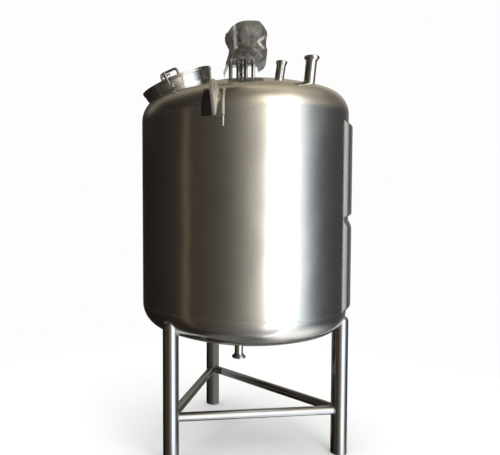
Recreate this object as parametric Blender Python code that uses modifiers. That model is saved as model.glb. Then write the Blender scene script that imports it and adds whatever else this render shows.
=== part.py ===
"""Jacketed stainless mixing tank on three tube legs, with a tilted manway and a wrapped stirrer drive.

Metres, +Z up. The origin is on the tank's axis at floor level. -Y is the front, and the manway is on
the -X side.
An azimuth of 0 points to the front (-Y) and grows towards the right (+X).
"""

from math import asin, atan2, cos, degrees, pi, radians, sin, sqrt

import bmesh
import bpy
from mathutils import Matrix, Vector

# Vessel: a straight shell between two dished heads
SHELL_RADIUS = 0.600
WALL = 0.005
TOP_TANGENT = 1.936
BOTTOM_TANGENT = 0.840
CROWN_RADIUS = 1.457
KNUCKLE_RADIUS = 0.147
AROUND = 72
AROUND_MANWAY = 48
GAP = 0.0003
EDGE = 0.001
SHELL_SEAM = 0.0008

# Legs and the triangle of braces between them
LEG_RADIUS = 0.04445
LEG_CIRCLE = 0.569
LEG_TOP = 0.799
LEG_TOP_ROUND = 0.030
LEG_AZIMUTHS = {"leg_right": 77.0, "leg_left": -42.0, "leg_back": 200.3}
BRACE_RADIUS = 0.0254
BRACE_HEIGHT = 0.2526

# Heating jacket, two zones one above the other, on the right and back
JACKET_DEPTH = 0.021
JACKET_SPAN = (65.0, 245.0)
JACKET_ZONES = {"jacket_upper": (1.361, 1.887), "jacket_lower": (0.842, 1.353)}
JACKET_SLOPES = {"jacket_upper": (0.018, 0.018), "jacket_lower": (0.018, 0.045)}
CLOSURE_ANGLE = 3.0

# Lifting lugs on pads, one at the front and one at the back
LUG_AZIMUTHS = {"front": -13.0, "back": 167.0}
LUG_THICKNESS = 0.016
LUG_EYE = (0.632, 2.029)
LUG_EYE_RADIUS = 0.038
LUG_HOLE_RADIUS = 0.019
LUG_FOOT = (0.610, 1.8915)
LUG_ROOT_RADIUS = 0.500
PAD_THICKNESS = 0.006
PAD_WIDTH = 0.120
PAD_TURN = -1.1
PAD_BOTTOM = 1.890
PAD_POINTS = 4
PAD_STEPS = 4

# Manway: a flared neck, its lid, hinge and clamp, in a frame tilted outwards
MANWAY_AZIMUTH = -78.0
MANWAY_RADIUS = 0.390
MANWAY_HEIGHT = 2.1685
MANWAY_TILT = 20.5
NECK_TOP_RADIUS = 0.2135
NECK_LIP = 0.008
NECK_LIP_STEP = 0.003
NECK_FOOT_RADIUS = 0.196
NECK_FLARE_DEPTH = 0.062
NECK_LENGTH = 0.200
NECK_INSIDE = 0.015
LID_RADIUS = 0.2155
LID_EDGE = 0.009
LID_SEAT_WIDTH = 0.022
LID_CROWN = 0.030
LID_PLATE = 0.004
LID_STEPS = 4
LID_ROOM = 0.005
CLAMP_ANGLE = -19.5
HINGE_ANGLE = CLAMP_ANGLE + 180.0
HINGE_RADIUS = 0.2455
HINGE_HEIGHT = 0.013
HINGE_BARREL = 0.010
HINGE_HALF_WIDTH = 0.020
HINGE_PIN_RADIUS = 0.005
HINGE_BRACKET_LOW = -0.034
HINGE_BRACKET_BASE = -0.006
ARM_THICKNESS = 0.008
CHEEK = 0.008
PIN_OUTSIDE = 0.011
RUNNING_GAP = 0.0005
SIDE_GAP = 0.0015
CLAMP_RADIUS = 0.229
CLAMP_DEPTH = -0.040
CLAMP_REST_TILT = 30.0
CLAMP_CHEEK = 0.006
CLAMP_BRACKET_HEIGHT = 0.024
EYE_RADIUS = 0.011
EYE_HALF_WIDTH = 0.007
BOLT_RADIUS = 0.006
BOLT_LENGTH = 0.090
NUT_FROM, NUT_TO = 0.056, 0.076
NUT_RADIUS = 0.011
NUT_WING = 0.030
NUT_WING_RADIUS = 0.0048
EAR_TIP = 0.239
EAR_WIDTH = 0.052
EAR_SLOT = 0.018
HANDLE_RADIUS = 0.0075
HANDLE_PLACE = 0.135
HANDLE_HALF_WIDTH = 0.050
HANDLE_HEIGHT = 0.056
HANDLE_BEND = 0.020
HANDLE_FOOT = 0.010

# Ferrule-ended nozzles: place on the head, lean, pipe and rim sizes
NOZZLES = {
    "inlet_nozzle": {"xy": (0.351, -0.320), "lean": 5.3, "length": 0.139, "pipe": 0.0285, "rim": 0.0405},
    "vent_nozzle": {"xy": (0.2065, -0.150), "lean": 8.0, "length": 0.105, "pipe": 0.0255, "rim": 0.0325},
}
PIPE_WALL = 0.0028
RIM_HEIGHT = 0.007
RIM_CONE = 0.010
NOZZLE_INSIDE = 0.030
HOLE_DEPTH = 0.100
OUTLET_X = -0.012
OUTLET_LENGTH = 0.122
OUTLET_PIPE = 0.0255
OUTLET_RIM = 0.043

# Stirrer drive over the centre of the top head, turned a little to the right
DRIVE_TURN = 13.0
BASE_RADIUS = 0.105
BASE_TOP = 2.172
BASE_HEIGHT = 0.035
SHAFT_RADIUS = 0.015
SHAFT_BOTTOM = 0.690
SHAFT_TIP = 0.015
SHAFT_CLEARANCE = 0.001
SEAL_BORE = 0.024
POST_RADIUS = 0.0115
POST_CIRCLE = 0.070
POST_TURN = 18.6
PLATE_BOTTOM = 2.290
PLATE_THICKNESS = 0.014
PLATE_SIDE = 0.168
PLATE_CORNER = 0.020
GEARBOX_SIDE = 0.128
GEARBOX_HEIGHT = 0.125
GEARBOX_ROUND = 0.012
MOTOR_RADIUS = 0.070
MOTOR_LENGTH = 0.150
MOTOR_NOSE = 0.012
COWL_RADIUS = 0.076
COWL_LENGTH = 0.038
COWL_ROUND = 0.012
MOTOR_HEIGHT = 2.376
TERMINAL_BOX = (0.036, 0.090, 0.072)
TERMINAL_SEAT = 0.012
HUB_RADIUS = 0.034
HUB_HEIGHT = 0.070
BLADE = (0.165, 0.052, 0.006)
BLADE_PITCH = 45.0

# Clear film bag over the drive, open below, lying on the fan cowl
FILM_THICKNESS = 0.0016
FILM_SIDES = (-0.108, 0.100)
FILM_DEPTH = (-0.272, 0.095)
FILM_TOP = MOTOR_HEIGHT + COWL_RADIUS + GAP + FILM_THICKNESS
FILM_RIM = 2.280
FILM_CURTAIN = 2.180
FILM_POCKET = 2.180
FILM_ROUND = 0.028


def clear_scene():
    for thing in list(bpy.data.objects):
        bpy.data.objects.remove(thing, do_unlink=True)


def collection(name):
    made = bpy.data.collections.new(name)
    bpy.context.scene.collection.children.link(made)
    return made


def finish(name, colour, roughness, metallic):
    made = bpy.data.materials.new(name)
    made.use_nodes = True
    shader = made.node_tree.nodes["Principled BSDF"]
    shader.inputs["Base Color"].default_value = (*colour, 1.0)
    shader.inputs["Roughness"].default_value = roughness
    shader.inputs["Metallic"].default_value = metallic
    made.diffuse_color = (*colour, 1.0)
    return made


clear_scene()
PARTS = collection("mixing_tank")
CUTTERS = collection("cutters")

SATIN = finish("satin_steel", (0.46, 0.44, 0.41), 0.36, 1.0)
HEAD_STEEL = finish("head_steel", (0.50, 0.46, 0.41), 0.42, 1.0)
LEG_STEEL = finish("leg_steel", (0.42, 0.42, 0.42), 0.30, 1.0)
POLISHED = finish("polished_steel", (0.62, 0.61, 0.59), 0.20, 1.0)
JACKET_STEEL = finish("jacket_steel", (0.50, 0.49, 0.47), 0.40, 1.0)
PAINT = finish("drive_paint", (0.16, 0.15, 0.14), 0.50, 0.0)
FILM = finish("clear_film", (0.72, 0.72, 0.70), 0.25, 0.0)


def put(name, mesh, material, place=Matrix.Identity(4), group=PARTS):
    made = bpy.data.objects.new(name, mesh)
    made.matrix_world = place
    group.objects.link(made)
    if material:
        mesh.materials.clear()
        mesh.materials.append(material)
    return made


def shade_round(mesh):
    """Smooth shading, with corners of over 35 degrees kept sharp."""
    mesh.shade_smooth()
    mesh.set_sharp_from_angle(angle=radians(35.0))


def as_mesh(made):
    """Swaps a curve, or an object with modifiers, for the mesh it evaluates to."""
    bpy.context.view_layer.update()
    evaluated = made.evaluated_get(bpy.context.evaluated_depsgraph_get())
    mesh = bpy.data.meshes.new_from_object(evaluated)
    work = bmesh.new()
    work.from_mesh(mesh)
    bmesh.ops.remove_doubles(work, verts=work.verts, dist=0.000001)
    bmesh.ops.recalc_face_normals(work, faces=work.faces)
    work.to_mesh(mesh)
    work.free()
    shade_round(mesh)
    name = made.name
    place = made.matrix_world.copy()
    group = made.users_collection[0]
    bpy.data.objects.remove(made, do_unlink=True)
    fresh = bpy.data.objects.new(name, mesh)
    fresh.matrix_world = place
    group.objects.link(fresh)
    return fresh


def combine(target, other, operation, solver="EXACT"):
    step = target.modifiers.new(other.name, "BOOLEAN")
    step.operation = operation
    step.solver = solver
    step.object = other


def as_cutter(made):
    made.hide_render = True
    made.display_type = "WIRE"
    return made


def turned(name, profile, material, place=Matrix.Identity(4), group=PARTS, steps=AROUND, closed=False):
    """A profile of (radius, height) pairs, run down its outer side, turned about the local Z axis."""
    mesh = bpy.data.meshes.new(name)
    count = len(profile)
    edges = [(i, i + 1) for i in range(count - 1)]
    if closed:
        edges.append((count - 1, 0))
    mesh.from_pydata([(r, 0.0, z) for r, z in profile], edges, [])
    made = put(name, mesh, material, place, group)
    screw = made.modifiers.new("turn", "SCREW")
    screw.steps = steps
    screw.render_steps = steps
    screw.use_smooth_shade = True
    screw.use_merge_vertices = True
    screw.merge_threshold = 0.00001
    return made


def box(name, size, material, place=Matrix.Identity(4), group=PARTS):
    mesh = bpy.data.meshes.new(name)
    work = bmesh.new()
    bmesh.ops.create_cube(work, size=1.0)
    bmesh.ops.scale(work, vec=Vector(size), verts=work.verts)
    work.to_mesh(mesh)
    work.free()
    return put(name, mesh, material, place, group)


def cylinder(name, radius, length, material, place=Matrix.Identity(4), group=PARTS, steps=32):
    """A solid cylinder along the local Z axis, from its origin upwards."""
    mesh = bpy.data.meshes.new(name)
    work = bmesh.new()
    bmesh.ops.create_cone(
        work, cap_ends=True, segments=steps, radius1=radius, radius2=radius, depth=length
    )
    bmesh.ops.translate(work, verts=work.verts, vec=(0.0, 0.0, length / 2))
    work.to_mesh(mesh)
    work.free()
    shade_round(mesh)
    return put(name, mesh, material, place, group)


def plate(name, outlines, thickness, material, place):
    """Closed outlines in the local XY plane, thickened evenly about it. Inner outlines are holes."""
    curve = bpy.data.curves.new(name, "CURVE")
    curve.dimensions = "2D"
    curve.fill_mode = "BOTH"
    curve.extrude = thickness / 2
    for outline in outlines:
        spline = curve.splines.new("POLY")
        spline.points.add(len(outline) - 1)
        for point, (x, y) in zip(spline.points, outline):
            point.co = (x, y, 0.0, 1.0)
        spline.use_cyclic_u = True
    made = bpy.data.objects.new(name, curve)
    made.matrix_world = place
    PARTS.objects.link(made)
    made = as_mesh(made)
    made.data.materials.append(material)
    return made


def arc(centre, radius, start, end, steps):
    """Points on a circle, from one angle in degrees to another."""
    angles = [radians(start + (end - start) * i / steps) for i in range(steps + 1)]
    return [(centre[0] + radius * cos(a), centre[1] + radius * sin(a)) for a in angles]


def circle(centre, radius, steps=24):
    return arc(centre, radius, 0.0, 360.0, steps)[:-1]


def outward(azimuth):
    """Level unit vector at an azimuth in degrees: 0 is the front (-Y), 90 the right (+X)."""
    a = radians(azimuth)
    return Vector((sin(a), -cos(a), 0.0))


def frame_at(origin, x_axis, z_axis):
    """A right-handed place with the given X and Z directions."""
    z_axis = Vector(z_axis).normalized()
    x_axis = Vector(x_axis).normalized()
    y_axis = z_axis.cross(x_axis)
    turn = Matrix((x_axis, y_axis, z_axis)).transposed()
    return Matrix.Translation(origin) @ turn.to_4x4()


def head_curve(offset, crown_steps=5, knuckle_steps=5):
    """(radius, height over the tangent line) of a dished head offset outwards, from the pole to the rim.

    The crown is an arc about a centre on the axis, and the knuckle an arc that joins it to the shell
    with no corner: the two centres and the joint lie on one line.
    """
    knuckle_centre = SHELL_RADIUS - KNUCKLE_RADIUS
    joint = asin(knuckle_centre / (CROWN_RADIUS - KNUCKLE_RADIUS))
    crown_centre = -(CROWN_RADIUS - KNUCKLE_RADIUS) * cos(joint)
    crown = CROWN_RADIUS + offset
    knuckle = KNUCKLE_RADIUS + offset
    points = []
    for i in range(crown_steps):
        a = joint * i / crown_steps
        points.append((crown * sin(a), crown_centre + crown * cos(a)))
    for i in range(knuckle_steps + 1):
        a = joint + (pi / 2 - joint) * i / knuckle_steps
        points.append((knuckle_centre + knuckle * sin(a), knuckle * cos(a)))
    return points


def vessel_curve(offset):
    """The vessel's outline offset outwards, from the top pole down to the bottom pole."""
    half = head_curve(offset)
    top = [(r, TOP_TANGENT + h) for r, h in half]
    bottom = [(r, BOTTOM_TANGENT - h) for r, h in reversed(half)]
    return top + bottom


def crown_height(x, y):
    """Height of the top head's outer face over a point within the crown."""
    knuckle_centre = SHELL_RADIUS - KNUCKLE_RADIUS
    reach = CROWN_RADIUS - KNUCKLE_RADIUS
    centre = TOP_TANGENT - sqrt(reach**2 - knuckle_centre**2)
    return centre + sqrt(CROWN_RADIUS**2 - x**2 - y**2)


def vessel_cutter(name, offset, steps=AROUND):
    return as_cutter(turned(name, vessel_curve(offset), None, group=CUTTERS, steps=steps))


VESSEL_SPACE = vessel_cutter("vessel_space", GAP)
PAD_SPACE = vessel_cutter("vessel_and_pad_space", PAD_THICKNESS + 2 * GAP, 4 * AROUND)


def build_shell():
    """Four curved plates between the heads, butted along upright seams."""
    names = ("shell_front", "shell_right", "shell_back", "shell_left")
    top, bottom = TOP_TANGENT - GAP / 2, BOTTOM_TANGENT + GAP / 2
    seam = SHELL_SEAM / SHELL_RADIUS
    for quarter, name in enumerate(names):
        mesh = bpy.data.meshes.new(name)
        mesh.from_pydata([(SHELL_RADIUS, 0.0, top), (SHELL_RADIUS, 0.0, bottom)], [(0, 1)], [])
        start = -pi * 3 / 4 + quarter * pi / 2 + seam / 2
        made = put(name, mesh, SATIN, Matrix.Rotation(start, 4, "Z"))
        screw = made.modifiers.new("roll", "SCREW")
        screw.angle = pi / 2 - seam
        screw.steps = AROUND // 4
        screw.render_steps = AROUND // 4
        screw.use_merge_vertices = False
        wall = made.modifiers.new("wall", "SOLIDIFY")
        wall.thickness = WALL
        wall.offset = -1.0


def head_profile(sign, tangent):
    """Outer face, rim and inner face of a head, as one chain from pole to pole, down the outer side."""
    outer = [(r, tangent + sign * h) for r, h in head_curve(0.0)]
    inner = [(r, tangent + sign * h) for r, h in head_curve(-WALL)]
    chain = outer + inner[::-1]
    return chain if sign > 0 else chain[::-1]


def build_heads(holes):
    top = turned("top_head", head_profile(1, TOP_TANGENT + GAP / 2), HEAD_STEEL)
    for hole in holes["top"]:
        combine(top, hole, "DIFFERENCE")
    bottom = turned("bottom_head", head_profile(-1, BOTTOM_TANGENT - GAP / 2), SATIN)
    for hole in holes["bottom"]:
        combine(bottom, hole, "DIFFERENCE")


def leg_axis(name):
    return outward(LEG_AZIMUTHS[name]) * LEG_CIRCLE


def build_legs():
    """Three capped tubes, their rounded tops cut to the bottom head's knuckle."""
    rounding = arc((LEG_RADIUS - LEG_TOP_ROUND, LEG_TOP - LEG_TOP_ROUND), LEG_TOP_ROUND, 90, 0, 5)
    profile = [(0.0, LEG_TOP)] + rounding + [(LEG_RADIUS, 0.0), (0.0, 0.0)]
    for name in LEG_AZIMUTHS:
        leg = turned(name, profile, LEG_STEEL, Matrix.Translation(leg_axis(name)), steps=32)
        combine(leg, VESSEL_SPACE, "DIFFERENCE")


def build_braces():
    """Tubes from leg to leg, their ends cut to the legs and to the brace that was there first."""
    spaces = {}
    for name in LEG_AZIMUTHS:
        place = Matrix.Translation(leg_axis(name))
        spaces[name] = as_cutter(cylinder(name + "_space", LEG_RADIUS + GAP, LEG_TOP, None, place, CUTTERS))
    pairs = {
        "brace_front": ("leg_left", "leg_right"),
        "brace_left": ("leg_back", "leg_left"),
        "brace_right": ("leg_right", "leg_back"),
    }
    height = Vector((0.0, 0.0, BRACE_HEIGHT))
    earlier = []
    for name, (first, second) in pairs.items():
        start, end = leg_axis(first) + height, leg_axis(second) + height
        run = end - start
        place = frame_at(start, (0.0, 0.0, 1.0), run)
        brace = cylinder(name, BRACE_RADIUS, run.length, LEG_STEEL, place, steps=24)
        for space in [spaces[first], spaces[second]] + earlier:
            combine(brace, space, "DIFFERENCE")
        taken = cylinder(name + "_space", BRACE_RADIUS + GAP, run.length, None, place, CUTTERS, 24)
        earlier.append(as_cutter(taken))


def build_jackets():
    """Two raised bands round the right and back, with sloped edges above, below and at both ends."""
    inner = SHELL_RADIUS + GAP
    outer = SHELL_RADIUS + JACKET_DEPTH
    start, end = JACKET_SPAN
    for name, (low, high) in JACKET_ZONES.items():
        lower_slope, upper_slope = JACKET_SLOPES[name]
        ring = [
            (inner, high),
            (outer, high - upper_slope),
            (outer, low + lower_slope),
            (inner, low),
        ]
        work = bmesh.new()
        verts = [work.verts.new(outward(start) * r + Vector((0.0, 0.0, z))) for r, z in ring]
        face = work.faces.new(verts)
        bmesh.ops.spin(
            work,
            geom=[face] + list(face.edges) + verts,
            cent=(0.0, 0.0, 0.0),
            axis=(0.0, 0.0, 1.0),
            angle=radians(end - start),
            steps=int((end - start) / 360.0 * AROUND),
        )
        bmesh.ops.remove_doubles(work, verts=work.verts, dist=0.00001)
        bmesh.ops.holes_fill(work, edges=[edge for edge in work.edges if edge.is_boundary])
        slope_closures(work, start, end)
        bmesh.ops.recalc_face_normals(work, faces=work.faces)
        mesh = bpy.data.meshes.new(name)
        work.to_mesh(mesh)
        work.free()
        put(name, mesh, JACKET_STEEL)


def slope_closures(work, start, end):
    """Draws the outer edge of each end of a jacket back along the shell."""
    for azimuth, turn in ((start, CLOSURE_ANGLE), (end, -CLOSURE_ANGLE)):
        across = outward(azimuth)
        for vert in work.verts:
            level = Vector((vert.co.x, vert.co.y, 0.0))
            if level.length > SHELL_RADIUS + JACKET_DEPTH / 2 and level.normalized().dot(across) > 0.99999:
                vert.co = Matrix.Rotation(radians(turn), 3, "Z") @ vert.co


def lug_outline():
    """Plate outline in (radius, height): a round eye, a long taper below and a web to the head."""
    eye_r, eye_z = LUG_EYE
    foot_r, foot_z = LUG_FOOT
    lean = degrees(atan2(eye_z - foot_z, eye_r + LUG_EYE_RADIUS - foot_r)) - 90.0
    outline = arc(LUG_EYE, LUG_EYE_RADIUS, lean, 95.0, 12)
    return [(foot_r, foot_z)] + outline + [(LUG_ROOT_RADIUS, eye_z + 0.010), (LUG_ROOT_RADIUS, foot_z)]


def build_lugs():
    for side, azimuth in LUG_AZIMUTHS.items():
        across = outward(azimuth)
        upright = frame_at((0.0, 0.0, 0.0), across, across.cross(Vector((0.0, 0.0, 1.0))))
        outlines = [lug_outline(), circle(LUG_EYE, LUG_HOLE_RADIUS, 20)]
        lug = plate("lifting_lug_" + side, outlines, LUG_THICKNESS, POLISHED, upright)
        combine(lug, PAD_SPACE, "DIFFERENCE")
        build_pad("lug_pad_" + side, azimuth)


def build_pad(name, azimuth):
    """A plate bent to the shell and the lower part of the knuckle, under a lug and a little to one side."""
    curve = [(r, TOP_TANGENT + h) for r, h in head_curve(GAP)]
    profile = curve[-PAD_POINTS:] + [(SHELL_RADIUS + GAP, PAD_BOTTOM)]
    mesh = bpy.data.meshes.new(name)
    edges = [(i, i + 1) for i in range(len(profile) - 1)]
    mesh.from_pydata([(r, 0.0, z) for r, z in profile], edges, [])
    width = PAD_WIDTH / SHELL_RADIUS
    start = radians(azimuth + PAD_TURN) - pi / 2 - width / 2
    made = put(name, mesh, SATIN, Matrix.Rotation(start, 4, "Z"))
    screw = made.modifiers.new("bend", "SCREW")
    screw.angle = width
    screw.steps = PAD_STEPS
    screw.render_steps = PAD_STEPS
    screw.use_merge_vertices = False
    wall = made.modifiers.new("wall", "SOLIDIFY")
    wall.thickness = PAD_THICKNESS
    wall.offset = 1.0


def manway_frame():
    """The middle of the neck's rim: X points outwards from the tank, Z out of the manway."""
    out = outward(MANWAY_AZIMUTH)
    up = Vector((0.0, 0.0, 1.0))
    lean = radians(MANWAY_TILT)
    origin = out * MANWAY_RADIUS + up * MANWAY_HEIGHT
    return frame_at(origin, out * cos(lean) - up * sin(lean), out * sin(lean) + up * cos(lean))


MANWAY = manway_frame()


def manway_place(angle, radius, height):
    """A place on the manway: X points outwards at an angle from its front, Z along its axis."""
    a = radians(angle)
    across = MANWAY.to_3x3() @ Vector((-sin(a), cos(a), 0.0))
    up = MANWAY.to_3x3() @ Vector((0.0, 0.0, 1.0))
    origin = MANWAY.translation + across * radius + up * height
    return frame_at(origin, across, up)


def neck_curve(offset):
    """Outer side of the neck offset outwards: a lip, a flare and a straight foot, from the top down."""
    return [
        (NECK_TOP_RADIUS + offset, 0.0),
        (NECK_TOP_RADIUS + offset, -NECK_LIP),
        (NECK_TOP_RADIUS - NECK_LIP_STEP + offset, -NECK_LIP - 0.002),
        (NECK_FOOT_RADIUS + offset, -NECK_FLARE_DEPTH),
        (NECK_FOOT_RADIUS + offset, -NECK_LENGTH),
    ]


def build_neck():
    """The flared neck passes through the top head and is trimmed along the head's inner face."""
    inner = [
        (NECK_FOOT_RADIUS - WALL, -NECK_LENGTH),
        (NECK_FOOT_RADIUS - WALL, -NECK_FLARE_DEPTH),
        (NECK_TOP_RADIUS - WALL - NECK_LIP_STEP, 0.0),
    ]
    neck = turned("manway_neck", neck_curve(0.0) + inner, SATIN, MANWAY, steps=AROUND_MANWAY, closed=True)
    inside = [(r, TOP_TANGENT + h - NECK_INSIDE) for r, h in head_curve(-WALL)]
    middle = (TOP_TANGENT + BOTTOM_TANGENT) / 2
    inside += [(SHELL_RADIUS, middle), (0.0, middle)]
    combine(neck, as_cutter(turned("tank_inside", inside, None, group=CUTTERS)), "DIFFERENCE")


def neck_hole():
    curve = [(0.0, 0.05), (NECK_TOP_RADIUS, 0.05)] + neck_curve(GAP)[2:] + [(0.0, -NECK_LENGTH)]
    return as_cutter(turned("neck_hole", curve, None, MANWAY, CUTTERS, AROUND_MANWAY))


def lid_curve(offset):
    """Top of the lid offset upwards: a low crown and a flat edge, from the centre outwards."""
    flat = LID_RADIUS - LID_SEAT_WIDTH
    shares = [i / LID_STEPS for i in range(LID_STEPS)]
    rise = LID_CROWN - LID_EDGE
    crown = [(flat * share, LID_EDGE + rise * cos(pi / 2 * share) ** 1.5) for share in shares]
    return [(r, z + GAP + offset) for r, z in crown + [(flat, LID_EDGE), (LID_RADIUS, LID_EDGE)]]


def build_lid():
    top = lid_curve(0.0)
    under = [(r, z - LID_PLATE) for r, z in top[-3::-1]]
    step = [(LID_RADIUS, GAP), (LID_RADIUS - LID_SEAT_WIDTH, GAP)]
    turned("manway_lid", top + step + under, SATIN, MANWAY, steps=AROUND_MANWAY)


def build_handle():
    """A bent round bar standing on the lid near its clamp, its feet cut to the crown."""
    place = manway_place(CLAMP_ANGLE, HANDLE_PLACE, 0.0)
    curve = bpy.data.curves.new("lid_handle", "CURVE")
    curve.dimensions = "3D"
    curve.bevel_depth = HANDLE_RADIUS
    curve.bevel_resolution = 2
    curve.use_fill_caps = True
    corner = HANDLE_HALF_WIDTH - HANDLE_BEND
    height = HANDLE_HEIGHT - HANDLE_BEND
    path = [(-HANDLE_HALF_WIDTH, HANDLE_FOOT)]
    path += arc((-corner, height), HANDLE_BEND, 180, 90, 4)
    path += arc((corner, height), HANDLE_BEND, 90, 0, 4)
    path += [(HANDLE_HALF_WIDTH, HANDLE_FOOT)]
    spline = curve.splines.new("POLY")
    spline.points.add(len(path) - 1)
    for point, (y, z) in zip(spline.points, path):
        point.co = (0.0, y, z, 1.0)
    made = bpy.data.objects.new("lid_handle", curve)
    made.matrix_world = place
    PARTS.objects.link(made)
    made = as_mesh(made)
    made.data.materials.append(POLISHED)
    lid_space = lid_curve(GAP) + [(LID_RADIUS, -LID_EDGE), (0.0, -LID_EDGE)]
    combine(made, as_cutter(turned("lid_space", lid_space, None, MANWAY, CUTTERS)), "DIFFERENCE")


def build_lid_ear():
    """A forked ear on the lid's edge, its slot open outwards for the swing bolt."""
    inner = LID_RADIUS + GAP
    half, slot = EAR_WIDTH / 2, EAR_SLOT / 2
    root = CLAMP_RADIUS - 0.002
    bottom = arc((root, 0.0), slot, -90, -270, 8)
    outline = [(inner, -half), (EAR_TIP, -half), (EAR_TIP, -slot)]
    outline += bottom + [(EAR_TIP, slot), (EAR_TIP, half), (inner, half)]
    spread = degrees(asin(half / inner))
    outline += arc((0.0, 0.0), inner, spread, -spread, 6)[1:-1]
    place = manway_place(CLAMP_ANGLE, 0.0, GAP + LID_EDGE / 2)
    plate("lid_ear", [outline], LID_EDGE - 0.001, SATIN, place)


def side_on(angle, radius, height):
    """A place on the manway whose local X points outwards and local Y up along its axis."""
    place = manway_place(angle, radius, height)
    across = place.to_3x3() @ Vector((1.0, 0.0, 0.0))
    up = place.to_3x3() @ Vector((0.0, 0.0, 1.0))
    return frame_at(place.translation, across, across.cross(up))


def lid_keep_out():
    """The neck and, above it, the lid with room to swing."""
    radius = LID_RADIUS + LID_ROOM
    curve = [(0.0, HANDLE_HEIGHT), (radius, HANDLE_HEIGHT), (radius, -LID_ROOM)]
    curve += neck_curve(GAP)[1:] + [(0.0, -NECK_LENGTH)]
    return as_cutter(turned("lid_keep_out", curve, None, MANWAY, CUTTERS))


def build_hinge():
    """Arm on the lid with a barrel, and a forked bracket on the neck that holds its pin."""
    barrel = circle((0.0, 0.0), HINGE_PIN_RADIUS + RUNNING_GAP, 16)
    low = LID_EDGE + 2 * GAP - HINGE_HEIGHT
    high = low + ARM_THICKNESS
    reach = LID_RADIUS - LID_SEAT_WIDTH + 0.002 - HINGE_RADIUS
    touch = degrees(asin(high / HINGE_BARREL))
    under = degrees(asin(low / HINGE_BARREL))
    outline = [(reach, low), (reach, high)]
    outline += arc((0.0, 0.0), HINGE_BARREL, 180.0 - touch, -180.0 - under, 20)
    place = side_on(HINGE_ANGLE, HINGE_RADIUS, HINGE_HEIGHT)
    plate("lid_arm", [outline, barrel], 2 * HINGE_HALF_WIDTH, POLISHED, place)
    keep_out = lid_keep_out()
    bracket = build_hinge_bracket(keep_out)
    bore_fork(bracket, "hinge", HINGE_ANGLE, HINGE_RADIUS, HINGE_HEIGHT, HINGE_HALF_WIDTH + PIN_OUTSIDE)


def build_hinge_bracket(keep_out):
    """A U in the plane across the manway, carried outwards from the neck: two cheeks over a base."""
    low, base = HINGE_BRACKET_LOW, HINGE_BRACKET_BASE
    high = HINGE_HEIGHT + HINGE_BARREL + 0.001
    start, end = NECK_FOOT_RADIUS - 0.010, HINGE_RADIUS + HINGE_BARREL + 0.003
    inner_half = HINGE_HALF_WIDTH + SIDE_GAP
    outer_half = inner_half + CHEEK
    outline = [
        (-outer_half, low), (outer_half, low), (outer_half, high), (inner_half, high),
        (inner_half, base), (-inner_half, base), (-inner_half, high), (-outer_half, high),
    ]
    middle = manway_place(HINGE_ANGLE, (start + end) / 2, 0.0)
    tangent = middle.to_3x3() @ Vector((0.0, 1.0, 0.0))
    across = middle.to_3x3() @ Vector((1.0, 0.0, 0.0))
    place = frame_at(middle.translation, tangent, across)
    made = plate("hinge_bracket", [outline], end - start, POLISHED, place)
    combine(made, keep_out, "DIFFERENCE")
    return made


def bore_fork(bracket, name, angle, radius, height, half_length):
    """Drills a fork across and puts its pin in the hole."""
    place = manway_place(angle, radius, height)
    tangent = place.to_3x3() @ Vector((0.0, 1.0, 0.0))
    across = place.to_3x3() @ Vector((1.0, 0.0, 0.0))
    start = frame_at(place.translation - tangent * half_length, across, tangent)
    wide = frame_at(place.translation - tangent * 2 * half_length, across, tangent)
    hole = cylinder(name + "_hole", HINGE_PIN_RADIUS + GAP, 4 * half_length, None, wide, CUTTERS, 24)
    combine(bracket, as_cutter(hole), "DIFFERENCE")
    cylinder(name + "_pin", HINGE_PIN_RADIUS, 2 * half_length, POLISHED, start, steps=24)


def build_clamp():
    """A forked bracket on the neck and an eye bolt with a winged nut that swings in it."""
    keep_out = bpy.data.objects["lid_keep_out"]
    cheek = EYE_HALF_WIDTH + SIDE_GAP
    half = cheek + CLAMP_CHEEK
    root, outer = NECK_FOOT_RADIUS - 0.015, CLAMP_RADIUS + 0.012
    inner = CLAMP_RADIUS - EYE_RADIUS - 0.0045
    outline = [
        (root, -half), (outer, -half), (outer, -cheek), (inner, -cheek),
        (inner, cheek), (outer, cheek), (outer, half), (root, half),
    ]
    place = manway_place(CLAMP_ANGLE, 0.0, CLAMP_DEPTH)
    bracket = plate("clamp_bracket", [outline], CLAMP_BRACKET_HEIGHT, POLISHED, place)
    combine(bracket, keep_out, "DIFFERENCE")
    bore_fork(bracket, "clamp", CLAMP_ANGLE, CLAMP_RADIUS, CLAMP_DEPTH, half + 0.003)
    build_swing_bolt()


def bolt_place():
    """Place at the bolt's eye: Z along the bolt as it rests, X outwards, Y along the pin."""
    upright = manway_place(CLAMP_ANGLE, CLAMP_RADIUS, CLAMP_DEPTH)
    return upright @ Matrix.Rotation(radians(CLAMP_REST_TILT), 4, "Y")


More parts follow.
